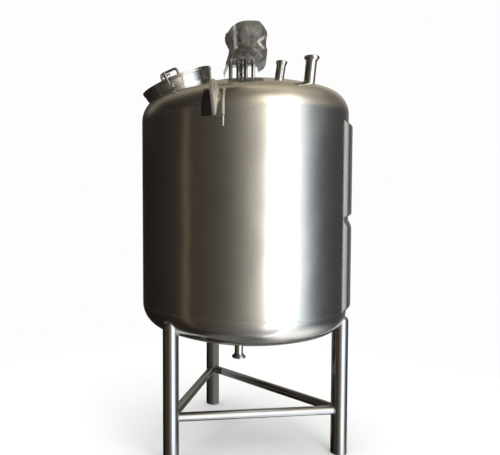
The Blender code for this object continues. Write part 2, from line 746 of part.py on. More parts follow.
def build_swing_bolt():
    place = bolt_place()
    eye_turn = Matrix.Rotation(radians(90), 4, "X")
    hole = circle((0.0, 0.0), HINGE_PIN_RADIUS + RUNNING_GAP, 16)
    outlines = [circle((0.0, 0.0), EYE_RADIUS, 24), hole]
    bolt = plate("swing_bolt", outlines, 2 * EYE_HALF_WIDTH, POLISHED, place @ eye_turn)
    start = EYE_RADIUS - 0.003
    root = place @ Matrix.Translation((0.0, 0.0, start))
    rod = cylinder("bolt_rod", BOLT_RADIUS, BOLT_LENGTH - start, None, root, CUTTERS, 22)
    combine(bolt, as_cutter(rod), "UNION", "MANIFOLD")
    bore = BOLT_RADIUS + GAP
    collar = [
        (NUT_RADIUS - EDGE, NUT_TO), (NUT_RADIUS, NUT_TO - EDGE), (NUT_RADIUS, NUT_FROM + EDGE),
        (NUT_RADIUS - EDGE, NUT_FROM), (bore, NUT_FROM), (bore, NUT_TO),
    ]
    nut = turned("hand_nut", collar, POLISHED, place, steps=24, closed=True)
    start = (bore + NUT_RADIUS) / 2
    for side in (-1, 1):
        root = place @ Matrix.Translation((0.0, side * start, (NUT_FROM + NUT_TO) / 2))
        turn = Matrix.Rotation(radians(-90 * side), 4, "X")
        wing = cylinder("wing_%d" % side, NUT_WING_RADIUS, NUT_WING - start, None, root @ turn, CUTTERS, 16)
        combine(nut, as_cutter(wing), "UNION")


def nozzle_profile(pipe, rim, top, bottom):
    """Section of a pipe with a ferrule at its top: a flat face, a thin edge and a conical back."""
    bore = pipe - PIPE_WALL
    back = top - RIM_HEIGHT
    return [
        (bore, top), (rim - EDGE, top), (rim, top - EDGE), (rim, back),
        (pipe, back - RIM_CONE), (pipe, bottom), (bore, bottom),
    ]


def build_nozzles():
    """The nozzles on the top head, each leaning to the right, and the holes they pass."""
    holes = []
    for name, at in NOZZLES.items():
        x, y = at["xy"]
        lean = radians(at["lean"])
        place = Matrix.Translation((x, y, crown_height(x, y))) @ Matrix.Rotation(lean, 4, "Y")
        profile = nozzle_profile(at["pipe"], at["rim"], at["length"], -NOZZLE_INSIDE)
        turned(name, profile, POLISHED, place, steps=32, closed=True)
        low = place @ Matrix.Translation((0.0, 0.0, -HOLE_DEPTH / 2))
        hole = cylinder(name + "_hole", at["pipe"] + GAP, HOLE_DEPTH, None, low, CUTTERS)
        holes.append(as_cutter(hole))
    return holes


def build_outlet():
    """The drain pipe under the bottom head, with its ferrule facing down."""
    bottom = TOP_TANGENT + BOTTOM_TANGENT - crown_height(OUTLET_X, 0.0)
    place = Matrix.Translation((OUTLET_X, 0.0, bottom)) @ Matrix.Rotation(pi, 4, "X")
    profile = nozzle_profile(OUTLET_PIPE, OUTLET_RIM, OUTLET_LENGTH, -WALL - 0.001)
    turned("outlet_pipe", profile, POLISHED, place, steps=32, closed=True)
    low = Matrix.Translation((OUTLET_X, 0.0, bottom - HOLE_DEPTH / 2))
    return [as_cutter(cylinder("outlet_hole", OUTLET_PIPE + GAP, HOLE_DEPTH, None, low, CUTTERS))]


DRIVE = Matrix.Rotation(radians(DRIVE_TURN), 4, "Z")


def build_lantern():
    """Base ring on the head, four posts and the plate that carries the drive."""
    bore = SHAFT_RADIUS + SHAFT_CLEARANCE
    low = BASE_TOP - BASE_HEIGHT
    profile = [
        (bore, BASE_TOP), (BASE_RADIUS - EDGE, BASE_TOP), (BASE_RADIUS, BASE_TOP - EDGE),
        (BASE_RADIUS, low), (bore, low),
    ]
    base = turned("drive_base", profile, SATIN, steps=36, closed=True)
    combine(base, VESSEL_SPACE, "DIFFERENCE")
    bottom = BASE_TOP + GAP
    length = PLATE_BOTTOM - GAP - bottom
    for number in range(4):
        across = outward(POST_TURN + 90.0 * number) * POST_CIRCLE
        place = Matrix.Translation((across.x, across.y, bottom))
        cylinder("lantern_post_%d" % (number + 1), POST_RADIUS, length, POLISHED, place, steps=20)
    inset = PLATE_SIDE / 2 - PLATE_CORNER
    outline = []
    for turn, (x, y) in enumerate(((1, 1), (-1, 1), (-1, -1), (1, -1))):
        outline += arc((x * inset, y * inset), PLATE_CORNER, 90.0 * turn, 90.0 * turn + 90.0, 4)
    place = DRIVE @ Matrix.Translation((0.0, 0.0, PLATE_BOTTOM + PLATE_THICKNESS / 2))
    plate("drive_plate", [outline, circle((0.0, 0.0), bore, 24)], PLATE_THICKNESS, SATIN, place)
    low = Matrix.Translation((0.0, 0.0, TOP_TANGENT))
    return as_cutter(cylinder("shaft_hole", SEAL_BORE, BASE_TOP - TOP_TANGENT, None, low, CUTTERS, 24))


def bevelled(made, width, segments=2):
    step = made.modifiers.new("edges", "BEVEL")
    step.width = width
    step.segments = segments
    step.limit_method = "ANGLE"
    return made


def build_drive():
    """Right-angle gearbox with its motor towards the front right, fan cowl and terminal box."""
    bottom = PLATE_BOTTOM + PLATE_THICKNESS + GAP
    size = (GEARBOX_SIDE, GEARBOX_SIDE, GEARBOX_HEIGHT)
    centre = DRIVE @ Matrix.Translation((0.0, 0.0, bottom + GEARBOX_HEIGHT / 2))
    bevelled(box("gearbox", size, PAINT, centre), GEARBOX_ROUND)
    face = GEARBOX_SIDE / 2 + GAP
    forward = DRIVE @ frame_at((0.0, -face, MOTOR_HEIGHT), (1.0, 0.0, 0.0), (0.0, -1.0, 0.0))
    body = [(0.0, MOTOR_LENGTH), (MOTOR_RADIUS - EDGE, MOTOR_LENGTH), (MOTOR_RADIUS, MOTOR_LENGTH - EDGE)]
    body += [(MOTOR_RADIUS, MOTOR_NOSE), (MOTOR_RADIUS - MOTOR_NOSE, 0.0), (0.0, 0.0)]
    turned("motor_body", body, PAINT, forward, steps=40)
    length = MOTOR_LENGTH + COWL_LENGTH
    start = MOTOR_LENGTH + GAP
    shoulder = length - COWL_ROUND
    cowl = [(0.0, length), (COWL_RADIUS - COWL_ROUND, length), (COWL_RADIUS, shoulder)]
    cowl += [(COWL_RADIUS, start), (0.0, start)]
    turned("fan_cowl", cowl, PAINT, forward, steps=40)
    wide, deep, high = TERMINAL_BOX
    beside = MOTOR_RADIUS + wide / 2 - TERMINAL_SEAT
    centre = DRIVE @ Matrix.Translation((beside, -face - MOTOR_LENGTH / 2, MOTOR_HEIGHT))
    terminal = box("terminal_box", (wide, deep, high), PAINT, centre)
    bevelled(terminal, 0.004)
    space = cylinder("motor_space", MOTOR_RADIUS + GAP, MOTOR_LENGTH, None, forward, CUTTERS, 80)
    combine(terminal, as_cutter(space), "DIFFERENCE")


def build_film():
    """The bag as an open-bottomed box with soft edges, its rim lower at the back left and front right."""
    left, right = FILM_SIDES
    front, back = FILM_DEPTH
    rim = {(0, 0): FILM_RIM, (1, 0): FILM_POCKET, (1, 1): FILM_RIM, (0, 1): FILM_CURTAIN}
    work = bmesh.new()
    bmesh.ops.create_cube(work, size=1.0)
    for vert in work.verts:
        side, depth, top = vert.co.x > 0, vert.co.y > 0, vert.co.z > 0
        height = FILM_TOP if top else rim[(int(side), int(depth))]
        vert.co = (right if side else left, back if depth else front, height)
    under = min(work.faces, key=lambda face: face.calc_center_median().z)
    bmesh.ops.delete(work, geom=[under], context="FACES_ONLY")
    ring = [edge for edge in work.edges if abs(edge.verts[0].co.x - edge.verts[1].co.x) > 0.1]
    bmesh.ops.subdivide_edges(work, edges=ring, cuts=3, use_grid_fill=True)
    for vert in work.verts:
        share = (vert.co.x - left) / (right - left)
        if vert.co.z < (FILM_TOP + FILM_RIM) / 2 and 0.2 < share < 0.8:
            vert.co.z = FILM_RIM
    mesh = bpy.data.meshes.new("film_wrap")
    bmesh.ops.recalc_face_normals(work, faces=work.faces)
    work.to_mesh(mesh)
    work.free()
    made = put("film_wrap", mesh, FILM, DRIVE)
    bevelled(made, FILM_ROUND, 3)
    wall = made.modifiers.new("film", "SOLIDIFY")
    wall.thickness = FILM_THICKNESS
    wall.offset = -1.0


def build_agitator():
    """Shaft through the base and plate, and a pitched-blade impeller near the bottom."""
    top = PLATE_BOTTOM + PLATE_THICKNESS
    place = Matrix.Translation((0.0, 0.0, SHAFT_BOTTOM))
    cylinder("agitator_shaft", SHAFT_RADIUS, top - SHAFT_BOTTOM, POLISHED, place, steps=24)
    bore = SHAFT_RADIUS + GAP
    low = SHAFT_BOTTOM + SHAFT_TIP
    high = low + HUB_HEIGHT
    profile = [(bore, high), (HUB_RADIUS, high), (HUB_RADIUS, low), (bore, low)]
    impeller = turned("impeller", profile, POLISHED, steps=24, closed=True)
    length, width, thick = BLADE
    for number in range(4):
        place = Matrix.Translation((0.0, 0.0, (low + high) / 2)) @ Matrix.Rotation(pi / 2 * number, 4, "Z")
        place = place @ Matrix.Translation((HUB_RADIUS - 0.004 + length / 2, 0.0, 0.0))
        place = place @ Matrix.Rotation(radians(BLADE_PITCH), 4, "X")
        blade = box("blade_%d" % number, (length, width, thick), None, place, CUTTERS)
        combine(impeller, as_cutter(blade), "UNION")


def main():
    build_shell()
    shaft_hole = build_lantern()
    top_holes = [neck_hole(), shaft_hole] + build_nozzles()
    build_heads({"top": top_holes, "bottom": build_outlet()})
    build_legs()
    build_braces()
    build_jackets()
    build_lugs()
    build_neck()
    build_lid()
    build_handle()
    build_lid_ear()
    build_hinge()
    build_clamp()
    build_drive()
    build_film()
    build_agitator()


main()
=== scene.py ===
# %% [markdown]
# # A jacketed mixing tank
# The real object is a stainless steel vessel on three tube legs: a rolled shell between two dished heads,
# a heating jacket in two zones, a tilted manway, two nozzles, and a stirrer drive wrapped in clear film.
# The CAD model already fixes every size and every place. This script gives the tank what CAD leaves out:
# smooth curved metal, rounded edges, weld beads, threads and fins, a crinkled film, and the finishes.

from math import asin, cos, degrees, pi, radians, sin, sqrt

import bmesh
import bpy
import numpy as np
from mathutils import Matrix, Vector


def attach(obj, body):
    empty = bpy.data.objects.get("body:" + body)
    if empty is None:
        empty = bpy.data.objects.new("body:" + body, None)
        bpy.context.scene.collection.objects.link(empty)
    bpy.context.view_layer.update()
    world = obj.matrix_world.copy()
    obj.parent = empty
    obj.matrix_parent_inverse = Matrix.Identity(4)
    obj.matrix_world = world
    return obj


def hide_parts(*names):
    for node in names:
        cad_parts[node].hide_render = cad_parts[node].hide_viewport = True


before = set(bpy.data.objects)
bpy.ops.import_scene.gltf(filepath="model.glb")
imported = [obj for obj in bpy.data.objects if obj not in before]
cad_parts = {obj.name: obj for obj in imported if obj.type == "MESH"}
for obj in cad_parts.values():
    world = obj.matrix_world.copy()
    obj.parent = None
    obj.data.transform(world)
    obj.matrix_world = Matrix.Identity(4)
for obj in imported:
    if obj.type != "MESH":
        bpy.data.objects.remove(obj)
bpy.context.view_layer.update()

# %% [markdown]
# ## The camera
# The photograph was taken from 3.46 m in front of the tank's axis at eye height, and then cropped, so the
# lens points to the right of the picture's middle. A lens shift gives the same view without turning the camera,
# and keeps upright edges where the photograph has them.

# %% Camera
IMAGE_WIDTH = 500
SENSOR_WIDTH = 36.0
FOCAL_PIXELS = 557.0
OPTICAL_CENTRE = 125.9
EYE = Vector((0.0, -3.459, 1.475))
YAW, PITCH, ROLL = radians(-11.72), radians(2.99), radians(-0.39)

forward = Vector((sin(YAW) * cos(PITCH), cos(YAW) * cos(PITCH), -sin(PITCH)))
level_right = Vector((cos(YAW), -sin(YAW), 0.0))
level_up = level_right.cross(forward)
right = cos(ROLL) * level_right + sin(ROLL) * level_up
up = -sin(ROLL) * level_right + cos(ROLL) * level_up

camera_data = bpy.data.cameras.new("camera")
camera_data.sensor_width = SENSOR_WIDTH
camera_data.lens = FOCAL_PIXELS * SENSOR_WIDTH / IMAGE_WIDTH
camera_data.shift_x = (IMAGE_WIDTH / 2 - OPTICAL_CENTRE) / IMAGE_WIDTH
camera = bpy.data.objects.new("camera", camera_data)
bpy.context.scene.collection.objects.link(camera)
camera.matrix_world = Matrix.Translation(EYE) @ Matrix((right, up, -forward)).transposed().to_4x4()
bpy.context.scene.camera = camera
bpy.context.scene.view_settings.view_transform = "Standard"
print("lens %.1f mm, shift %.3f" % (camera_data.lens, camera_data.shift_x))

# %% [markdown]
# ## Shader maths as Python
# A material is a network of nodes. Written out node by node it is long and hard to read, so one small class
# wraps a socket and overloads the operators: `1 - mask * 0.5` then adds the Math nodes that it needs.
# A second class adds any other node from its type, its settings and its inputs.


# %% The socket class
def feed(tree, socket, value):
    """Links a wire to a socket, or sets the socket to a plain number or colour."""
    if isinstance(value, Wire):
        tree.links.new(value.socket, socket)
    elif socket.type == "RGBA" and len(value) == 3:
        socket.default_value = (*value, 1.0)
    else:
        socket.default_value = value


class Wire:
    """A node's output that can be used in sums. Each operator adds one Math node."""

    def __init__(self, tree, socket):
        self.tree = tree
        self.socket = socket

    def math(self, operation, *values):
        node = self.tree.nodes.new("ShaderNodeMath")
        node.operation = operation
        for socket, value in zip(node.inputs, values):
            feed(self.tree, socket, value)
        return Wire(self.tree, node.outputs[0])

    def __add__(self, other):
        return self.math("ADD", self, other)

    def __radd__(self, other):
        return self.math("ADD", other, self)

    def __sub__(self, other):
        return self.math("SUBTRACT", self, other)

    def __rsub__(self, other):
        return self.math("SUBTRACT", other, self)

    def __mul__(self, other):
        return self.math("MULTIPLY", self, other)

    def __rmul__(self, other):
        return self.math("MULTIPLY", other, self)

    def __abs__(self):
        return self.math("ABSOLUTE", self)

    def power(self, other):
        return self.math("POWER", self, other)

    def angle_to(self, other):
        """The angle whose tangent is this wire over the other one."""
        return self.math("ARCTAN2", self, other)

    def most(self, other):
        return self.math("MAXIMUM", self, other)

    def split(self):
        """The three parts of a vector."""
        node = self.tree.nodes.new("ShaderNodeSeparateXYZ")
        feed(self.tree, node.inputs[0], self)
        return [Wire(self.tree, socket) for socket in node.outputs]


# %% The recipe class
class Recipe:
    """A node tree that nodes are added to by type."""

    def __init__(self, tree):
        self.tree = tree
        tree.nodes.clear()

    def add(self, kind, settings=None, inputs=None, output=0):
        """Adds one node: its settings are set first, then the values or links of its sockets."""
        node = self.tree.nodes.new("ShaderNode" + kind)
        for key, value in (settings or {}).items():
            setattr(node, key, value)
        for key, value in (inputs or {}).items():
            feed(self.tree, node.inputs[key], value)
        return Wire(self.tree, node.outputs[output])

    def join(self, x, y, z):
        return self.add("CombineXYZ", inputs={0: x, 1: y, 2: z})

    def noise(self, vector, scale, detail=3.0, rough=0.5):
        """Soft random values between 0 and 1, about 0.5 on average."""
        return self.add(
            "TexNoise",
            inputs={"Vector": vector, "Scale": scale, "Detail": detail, "Roughness": rough},
        )

    def blend(self, a, b, factor):
        """Colour a where the factor is 0, and b where it is 1."""
        return self.add("Mix", {"data_type": "RGBA"}, {0: factor, 6: a, 7: b}, output=2)

    def fade(self, value, low, high, start=0.0, end=1.0):
        """A smooth step: start at or below low, end at or above high."""
        settings = {"interpolation_type": "SMOOTHSTEP"}
        return self.add("MapRange", settings, {0: value, 1: low, 2: high, 3: start, 4: end})


def new_finish(name):
    """An empty material and the recipe that fills it."""
    made = bpy.data.materials.new(name)
    made.use_nodes = True
    return made, Recipe(made.node_tree)


def close(made, recipe, surface):
    """Links a shader to the material's output."""
    end = recipe.tree.nodes.new("ShaderNodeOutputMaterial")
    recipe.tree.links.new(surface.socket, end.inputs[0])
    return made


print("shader classes ready")

# %% [markdown]
# ## The light
# Polished steel has hardly any colour of its own: it shows the room. So the room is built first, as a world
# of a few soft areas: one broad soft box at the front right whose light spills along the walls to both sides,
# a dark brown wall at the left with a narrow lit strip, a dim cool wall at the right, a pale area behind, and
# a warm ceiling. Each has a level, a tint and a place in degrees round the tank. Only mirrored rays see the
# room. The camera sees a plain pale backdrop, which also lights what is dull. The floor is a plain pale plane
# that fades out away from the tank, and the steel doesn't mirror it.

# %% World
BROWN, WARM, GOLD = (1.42, 0.96, 0.60), (1.09, 1.02, 0.89), (1.15, 1.05, 0.80)
COOL, PLAIN = (0.91, 1.00, 1.09), (1.00, 1.00, 1.00)
WALL_AREAS = {
    "left wall": (0.020, BROWN, -52, -50, 32, 32, 2),
    "lit strip": (0.088, BROWN, -62.5, -61.5, 4, 3, 2),
    "right wall": (0.050, COOL, 110, 150, 25, 15, 2),
    "pale area behind": (0.23, WARM, 166, 176, 18, 16, 2),
    "spill to the left": (1.25, WARM, 27, 28, 17, 4, 1),
    "spill to the right": (1.25, COOL, 30, 68, 3, 11, 1),
    "soft box": (1.00, PLAIN, 31, 58, 3, 5, 2),
}
UPPER_AREAS = {
    "high card": (0.17, GOLD, -128, -128, 13, 13, 2),
    "walls": (0.15, WARM, 25, 150, 52, 20, 2),
    "pale area behind": (0.36, GOLD, 162, 174, 14, 20, 2),
    "spill to the left": (1.30, GOLD, 24, 25, 10, 4, 1),
    "spill to the right": (1.25, WARM, 30, 71, 3, 14, 1),
    "soft box": (1.10, PLAIN, 32, 62, 4, 5, 2),
}
CEILING_AREAS = {
    "over the back": (0.30, GOLD, 170, 215, 60, 40, 2),
    "over the soft box": (0.64, GOLD, 78, 86, 66, 45, 2),
}
GROUND_AREAS = {
    "spill on the ground": (1.20, PLAIN, 54, 55, 30, 4, 1),
    "lit ground": (1.55, PLAIN, 56, 84, 4, 52, 2),
}
PALE = (0.98, 0.98, 0.98)

world = bpy.data.worlds.new("studio")
bpy.context.scene.world = world
world.use_nodes = True
room = Recipe(world.node_tree)
x, y, z = room.add("TexCoord", output="Generated").split()
turn = x.angle_to(0.0 - y) * degrees(1.0)


def soft_area(light, level, tint, start, end, left, right, power):
    """Adds a light between two azimuths. Past an end it is e to the minus (degrees past it / spread) to the
    power: 1 is light that spills along a wall, and 2 is a soft edge."""
    off = turn.math("WRAP", turn - (start + end) / 2, 180.0, -180.0)
    before = (0.0 - off - (end - start) / 2).most(0.0) * (1.0 / left)
    after = (off - (end - start) / 2).most(0.0) * (1.0 / right)
    share = turn.math("EXPONENT", 0.0 - before.power(power) - after.power(power))
    inputs = {0: share, 6: light, 7: tuple(level * v for v in tint)}
    return room.add("Mix", {"data_type": "RGBA", "blend_type": "ADD"}, inputs, output=2)


def lit_band(areas, dark):
    """One height of the room: a dark brown all round, and its areas of light added to it."""
    light = tuple(dark * v for v in BROWN)
    for area in areas.values():
        light = soft_area(light, *area)
    return light


light = room.blend(lit_band(WALL_AREAS, 0.008), lit_band(UPPER_AREAS, 0.012), room.fade(z, 0.10, 0.36))
light = room.blend(light, lit_band(CEILING_AREAS, 0.022), room.fade(z, 0.46, 0.86))
light = room.blend(light, lit_band(GROUND_AREAS, 0.012), room.fade(0.0 - z, 0.38, 0.82))
light = room.blend(light, (0.17, 0.17, 0.17), room.fade(0.0 - z, 0.90, 0.985))
mirrored = room.add("LightPath", output="Is Glossy Ray")
light = room.blend(PALE, light, mirrored)
background = room.add("Background", inputs={"Color": light, "Strength": 1.0})
output = room.tree.nodes.new("ShaderNodeOutputWorld")
room.tree.links.new(background.socket, output.inputs[0])
print("soft areas:", [len(areas) for areas in (WALL_AREAS, UPPER_AREAS, CEILING_AREAS, GROUND_AREAS)])


# %% Floor and soft lights
TANK_MIDDLE = Vector((0.0, 0.0, 1.2))
FLOOR_HALF, FLOOR_DROP = 14.0, 0.0005
FADE_START, FADE_END = 0.9, 3.2


def soft_light(name, place, size, power):
    """A square area light aimed at the tank's middle. The steel doesn't mirror it: the world does that."""
    data = bpy.data.lights.new(name, "AREA")
    data.size = size
    data.energy = power
    made = bpy.data.objects.new(name, data)
    made.location = place
    made.rotation_mode = "QUATERNION"
    made.rotation_quaternion = (TANK_MIDDLE - Vector(place)).to_track_quat("-Z", "Y")
    made.visible_glossy = False
    made.visible_camera = False
    bpy.context.scene.collection.objects.link(made)
    return made


def pale_floor():
    """A plain pale floor that fades out away from the tank, so that it meets the backdrop without a line."""
    made, recipe = new_finish("pale_floor")
    x, y, z = recipe.add("TexCoord", output="Object").split()
    plain = recipe.add("BsdfPrincipled", inputs={"Base Color": (0.93, 0.93, 0.92), "Roughness": 0.9})
    clear = recipe.add("BsdfTransparent")
    gone = recipe.fade((x * x + y * y).power(0.5), FADE_START, FADE_END)
    return close(made, recipe, recipe.add("MixShader", inputs={0: gone, 1: plain, 2: clear}))


def flat_card(name, corners):
    """A flat quad that belongs to the studio and not to the tank."""
    mesh = bpy.data.meshes.new(name)
    mesh.from_pydata(corners, [], [(0, 1, 2, 3)])
    made = bpy.data.objects.new(name, mesh)
    bpy.context.scene.collection.objects.link(made)
    return made


soft_light("key", (2.6, -3.4, 3.6), 2.4, 60.0)
soft_light("fill", (-3.2, -2.6, 3.0), 3.0, 25.0)
soft_light("top", (0.0, 0.6, 5.2), 4.0, 60.0)
floor_corners = ((-1, -1), (1, -1), (1, 1), (-1, 1))
floor = flat_card("floor", [(FLOOR_HALF * x, FLOOR_HALF * y, -FLOOR_DROP) for x, y in floor_corners])
floor.visible_glossy = False
floor.data.materials.append(pale_floor())

# %% A card for the back leg: a painted reflection
CARD_START, CARD_END = (-0.215, 0.270), (-0.040, 0.640)
CARD_BOTTOM, CARD_TOP = -0.3, 0.66


def painted_reflection_finish():
    """What the back leg mirrors of the floor and the tank near it, as a painted reflection: painted shade at the
    card's start, pale from its middle on, and fading out towards its top."""
    made, recipe = new_finish("painted_reflection_card")
    x, y, z = recipe.add("TexCoord", output="Object").split()
    share = (x - CARD_START[0]) * (1.0 / (CARD_END[0] - CARD_START[0]))
    # The dark end is painted shade: the floor in the tank's shadow as the back leg mirrors it.
    colour = recipe.blend((0.075, 0.075, 0.073), (0.29, 0.29, 0.28), recipe.fade(share, 0.05, 0.50))
    lit = recipe.add("Emission", inputs={"Color": colour, "Strength": 1.0})
    clear = recipe.add("BsdfTransparent")
    return close(made, recipe, recipe.add("MixShader", inputs={0: recipe.fade(z, 0.46, 0.64), 1: lit, 2: clear}))


card = flat_card("painted_reflection_card", [
    (*CARD_START, CARD_BOTTOM), (*CARD_END, CARD_BOTTOM), (*CARD_END, CARD_TOP), (*CARD_START, CARD_TOP),
])
card.visible_camera = card.visible_diffuse = card.visible_shadow = card.visible_transmission = False
card.data.materials.append(painted_reflection_finish())
print("floor, back leg's card and 3 soft lights")

# %% [markdown]
# ## Steel
# The tank is satin ground: fine lines run round the shell, and they blur reflections more up and down
# than across. The plate also waves a little, and cloudy patches are a shade duller. One recipe
# makes every steel from a tint, a roughness, a grain direction and some marks, and can darken it by
# azimuth as a painted shade. Heights are in metres, and a Bump node turns them into slopes.


# %% Steel recipe
def steel(name, tint, rough, grain, lines=0.00002, wave=0.0006, welds=(), stains=(), painted_shade=None, patchy=1.0):
    """Satin steel on Object coordinates. Welds are heights of level seams, stains are (place, size) pairs, and
    a painted shade is two azimuths with the share of the tint at each: the colour is darkened by azimuth."""
    made, recipe = new_finish(name)
    place = recipe.add("TexCoord", output="Object")
    x, y, z = place.split()
    if grain == "round":
        along = recipe.join(x.angle_to(0.0 - y) * 2.0, (x * x + y * y).power(0.5) * 60.0, z * 420.0)
    elif grain == "up":
        along = recipe.join(x * 420.0, y * 420.0, z * 5.0)
    else:
        along = recipe.join(x * 160.0, y * 160.0, z * 160.0)
    fine = recipe.noise(along, 1.0, 4.0, 0.65)
    cloud = recipe.noise(place, 2.6, 5.0, 0.6)
    patch = recipe.noise(place, 11.0, 4.0, 0.6)
    runs = recipe.noise(recipe.join(x * 14.0, y * 14.0, z * 1.2), 1.0, 3.0, 0.5)
    dull = ((cloud - 0.5) * 0.55 + (patch - 0.5) * 0.3 + (runs - 0.5) * 0.3) * patchy
    tone_share = recipe.fade(dull + (fine - 0.5) * 0.5, -0.45, 0.45)
    dark = tuple(v * 0.88 for v in tint)
    colour = recipe.blend(dark, tuple(min(1.0, v * 1.10) for v in tint), tone_share)
    roughness = rough + dull * -0.16 + (fine - 0.5) * 0.10
    height = fine * lines + recipe.noise(place, 3.1, 1.0, 0.4) * wave + patch * (wave * 0.05)
    for level in welds:
        seam = recipe.fade(abs(z - level), 0.0015, 0.0065, 1.0, 0.0)
        height = height + seam * (recipe.noise(place, 240.0, 2.0, 0.5) * 0.0001 + 0.00012)
        roughness = roughness + seam * 0.12
        colour = recipe.blend(colour, tuple(v * 0.82 for v in tint), seam * 0.7)
    for centre, size in stains:
        away = recipe.add("VectorMath", {"operation": "DISTANCE"}, {0: place, 1: centre}, output="Value")
        spot = recipe.fade(away + (patch - 0.5) * size * 0.9, size * 0.25, size, 1.0, 0.0)
        colour = recipe.blend(colour, (0.24, 0.15, 0.09), spot * 0.8)
        roughness = roughness + spot * 0.2
    # Painted shade: the colour is blended towards black by azimuth, standing in for a shadow and a dark reflection.
    if painted_shade:
        start, end, low, high = painted_shade
        share = recipe.fade(x.angle_to(0.0 - y), radians(start), radians(end), low, high)
        colour = recipe.blend((0.0, 0.0, 0.0), colour, share)
    bump = recipe.add("Bump", inputs={"Strength": 1.0, "Distance": 1.0, "Height": height}, output="Normal")
    surface = recipe.add(
        "BsdfPrincipled",
        inputs={"Base Color": colour, "Metallic": 1.0, "Roughness": roughness, "Normal": bump},
    )
    return close(made, recipe, surface)


TOP, BOTTOM = 1.936, 0.840
SATIN = steel("satin_steel", (0.62, 0.61, 0.59), 0.17, "round", wave=0.0085, welds=(TOP, BOTTOM))
HEAD_STEEL = steel(
    "head_steel", (0.62, 0.60, 0.57), 0.20, "round", wave=0.0085,
    stains=[((-0.118, -0.525, 2.052), 0.027), ((-0.091, -0.530, 2.051), 0.024), ((-0.062, -0.532, 2.050), 0.024)],
)
JACKET_STEEL = steel("jacket_steel", (0.61, 0.59, 0.56), 0.24, "round", wave=0.0012, patchy=1.4)
LEG_STEEL = steel("leg_steel", (0.47, 0.475, 0.485), 0.17, "up", lines=0.000006, wave=0.0002)
BRACE_STEEL = steel("brace_steel", (0.41, 0.41, 0.415), 0.17, "plain", lines=0.000004, wave=0.0001)
# The front lug pad's left part is darkened: painted shade that stands in for the lug's shadow and the dark reflection
# beside it.
PAD_STEEL = steel("pad_steel", (0.66, 0.63, 0.58), 0.24, "round", wave=0.0002, painted_shade=(-15.5, -11.0, 0.22, 1.15))
POLISHED = steel("polished_steel", (0.66, 0.65, 0.63), 0.14, "plain", lines=0.000004, wave=0.0)
WELD_STEEL = steel("weld_steel", (0.54, 0.52, 0.49), 0.32, "plain", lines=0.00001, wave=0.0, patchy=1.8)
DULL_STEEL = steel("dull_steel", (0.40, 0.38, 0.33), 0.36, "plain", lines=0.00001, wave=0.0, patchy=1.6)
BASE_STEEL = steel("base_steel", (0.74, 0.71, 0.65), 0.55, "round", wave=0.0)
CAST_STEEL = steel("cast_steel", (0.60, 0.58, 0.55), 0.42, "plain", lines=0.00003, wave=0.0)
print("steels:", [m.name for m in bpy.data.materials if "steel" in m.name])


# %% Paint and rubber
def painted(name, colour, rough, grain_size):
    """Thick machine paint: a slight orange peel, worn a little lighter in patches."""
    made, recipe = new_finish(name)
    place = recipe.add("TexCoord", output="Object")
    peel = recipe.noise(place, grain_size, 2.0, 0.5)
    worn = recipe.fade(recipe.noise(place, 22.0, 5.0, 0.7), 0.52, 0.72)
    tint = recipe.blend(colour, tuple(v * 1.7 + 0.01 for v in colour), worn)
    roughness = rough + (peel - 0.5) * 0.12 + worn * 0.12
    bump = recipe.add("Bump", inputs={"Strength": 1.0, "Distance": 1.0, "Height": peel * 0.00006}, output="Normal")
    inputs = {"Base Color": tint, "Roughness": roughness, "Normal": bump}
    return close(made, recipe, recipe.add("BsdfPrincipled", inputs=inputs))


PAINT = painted("drive_paint", (0.085, 0.078, 0.068), 0.42, 420.0)
DARK_PAINT = painted("cowl_paint", (0.050, 0.044, 0.040), 0.38, 420.0)
RUBBER = painted("gasket_rubber", (0.018, 0.018, 0.017), 0.62, 900.0)
print("paints:", PAINT.name, DARK_PAINT.name, RUBBER.name)

# %% [markdown]
# ## From arrays to meshes
# A surface is a grid of points: rows along a profile, columns round an axis or along a path. The grid's
# quads come from index sums, so whole meshes are worked out as arrays. Several grids make
# one piece: their shared edges are merged, which also closes poles, and the faces are turned outwards.


# %% Grids and pieces
def quads(rows, columns, wrap):
    """Four corners per cell: a point, its neighbour across, the one below that, and the one below."""
    i, j = np.meshgrid(np.arange(rows - 1), np.arange(columns if wrap else columns - 1), indexing="ij")
    k = (j + 1) % columns
    cells = [i * columns + j, i * columns + k, (i + 1) * columns + k, (i + 1) * columns + j]
    return np.stack(cells, -1).reshape(-1, 4)


def surface(points, wrap=False):
    """A grid of points as a list of points with its quads."""
    rows, columns = points.shape[:2]
    return points.reshape(-1, 3), quads(rows, columns, wrap)


def placed(points, place):
    """Points carried by a 4x4 place: turned by its corner, then moved by its last column."""
    matrix = np.array(place)
    return points @ matrix[:3, :3].T + matrix[:3, 3]


def new_object(name, mesh, material):
    mesh.materials.clear()
    mesh.materials.append(material)
    made = bpy.data.objects.new(name, mesh)
    bpy.context.scene.collection.objects.link(made)
    return made


MERGE = 0.000005


def tidy_mesh(mesh):
    """Merges doubled points, drops cells that have no area, and turns the faces outwards."""
    work = bmesh.new()
    work.from_mesh(mesh)
    bmesh.ops.remove_doubles(work, verts=work.verts, dist=MERGE)
    bmesh.ops.dissolve_degenerate(work, edges=work.edges, dist=MERGE)
    bmesh.ops.recalc_face_normals(work, faces=work.faces)
    work.to_mesh(mesh)
    work.free()


MADE = {}


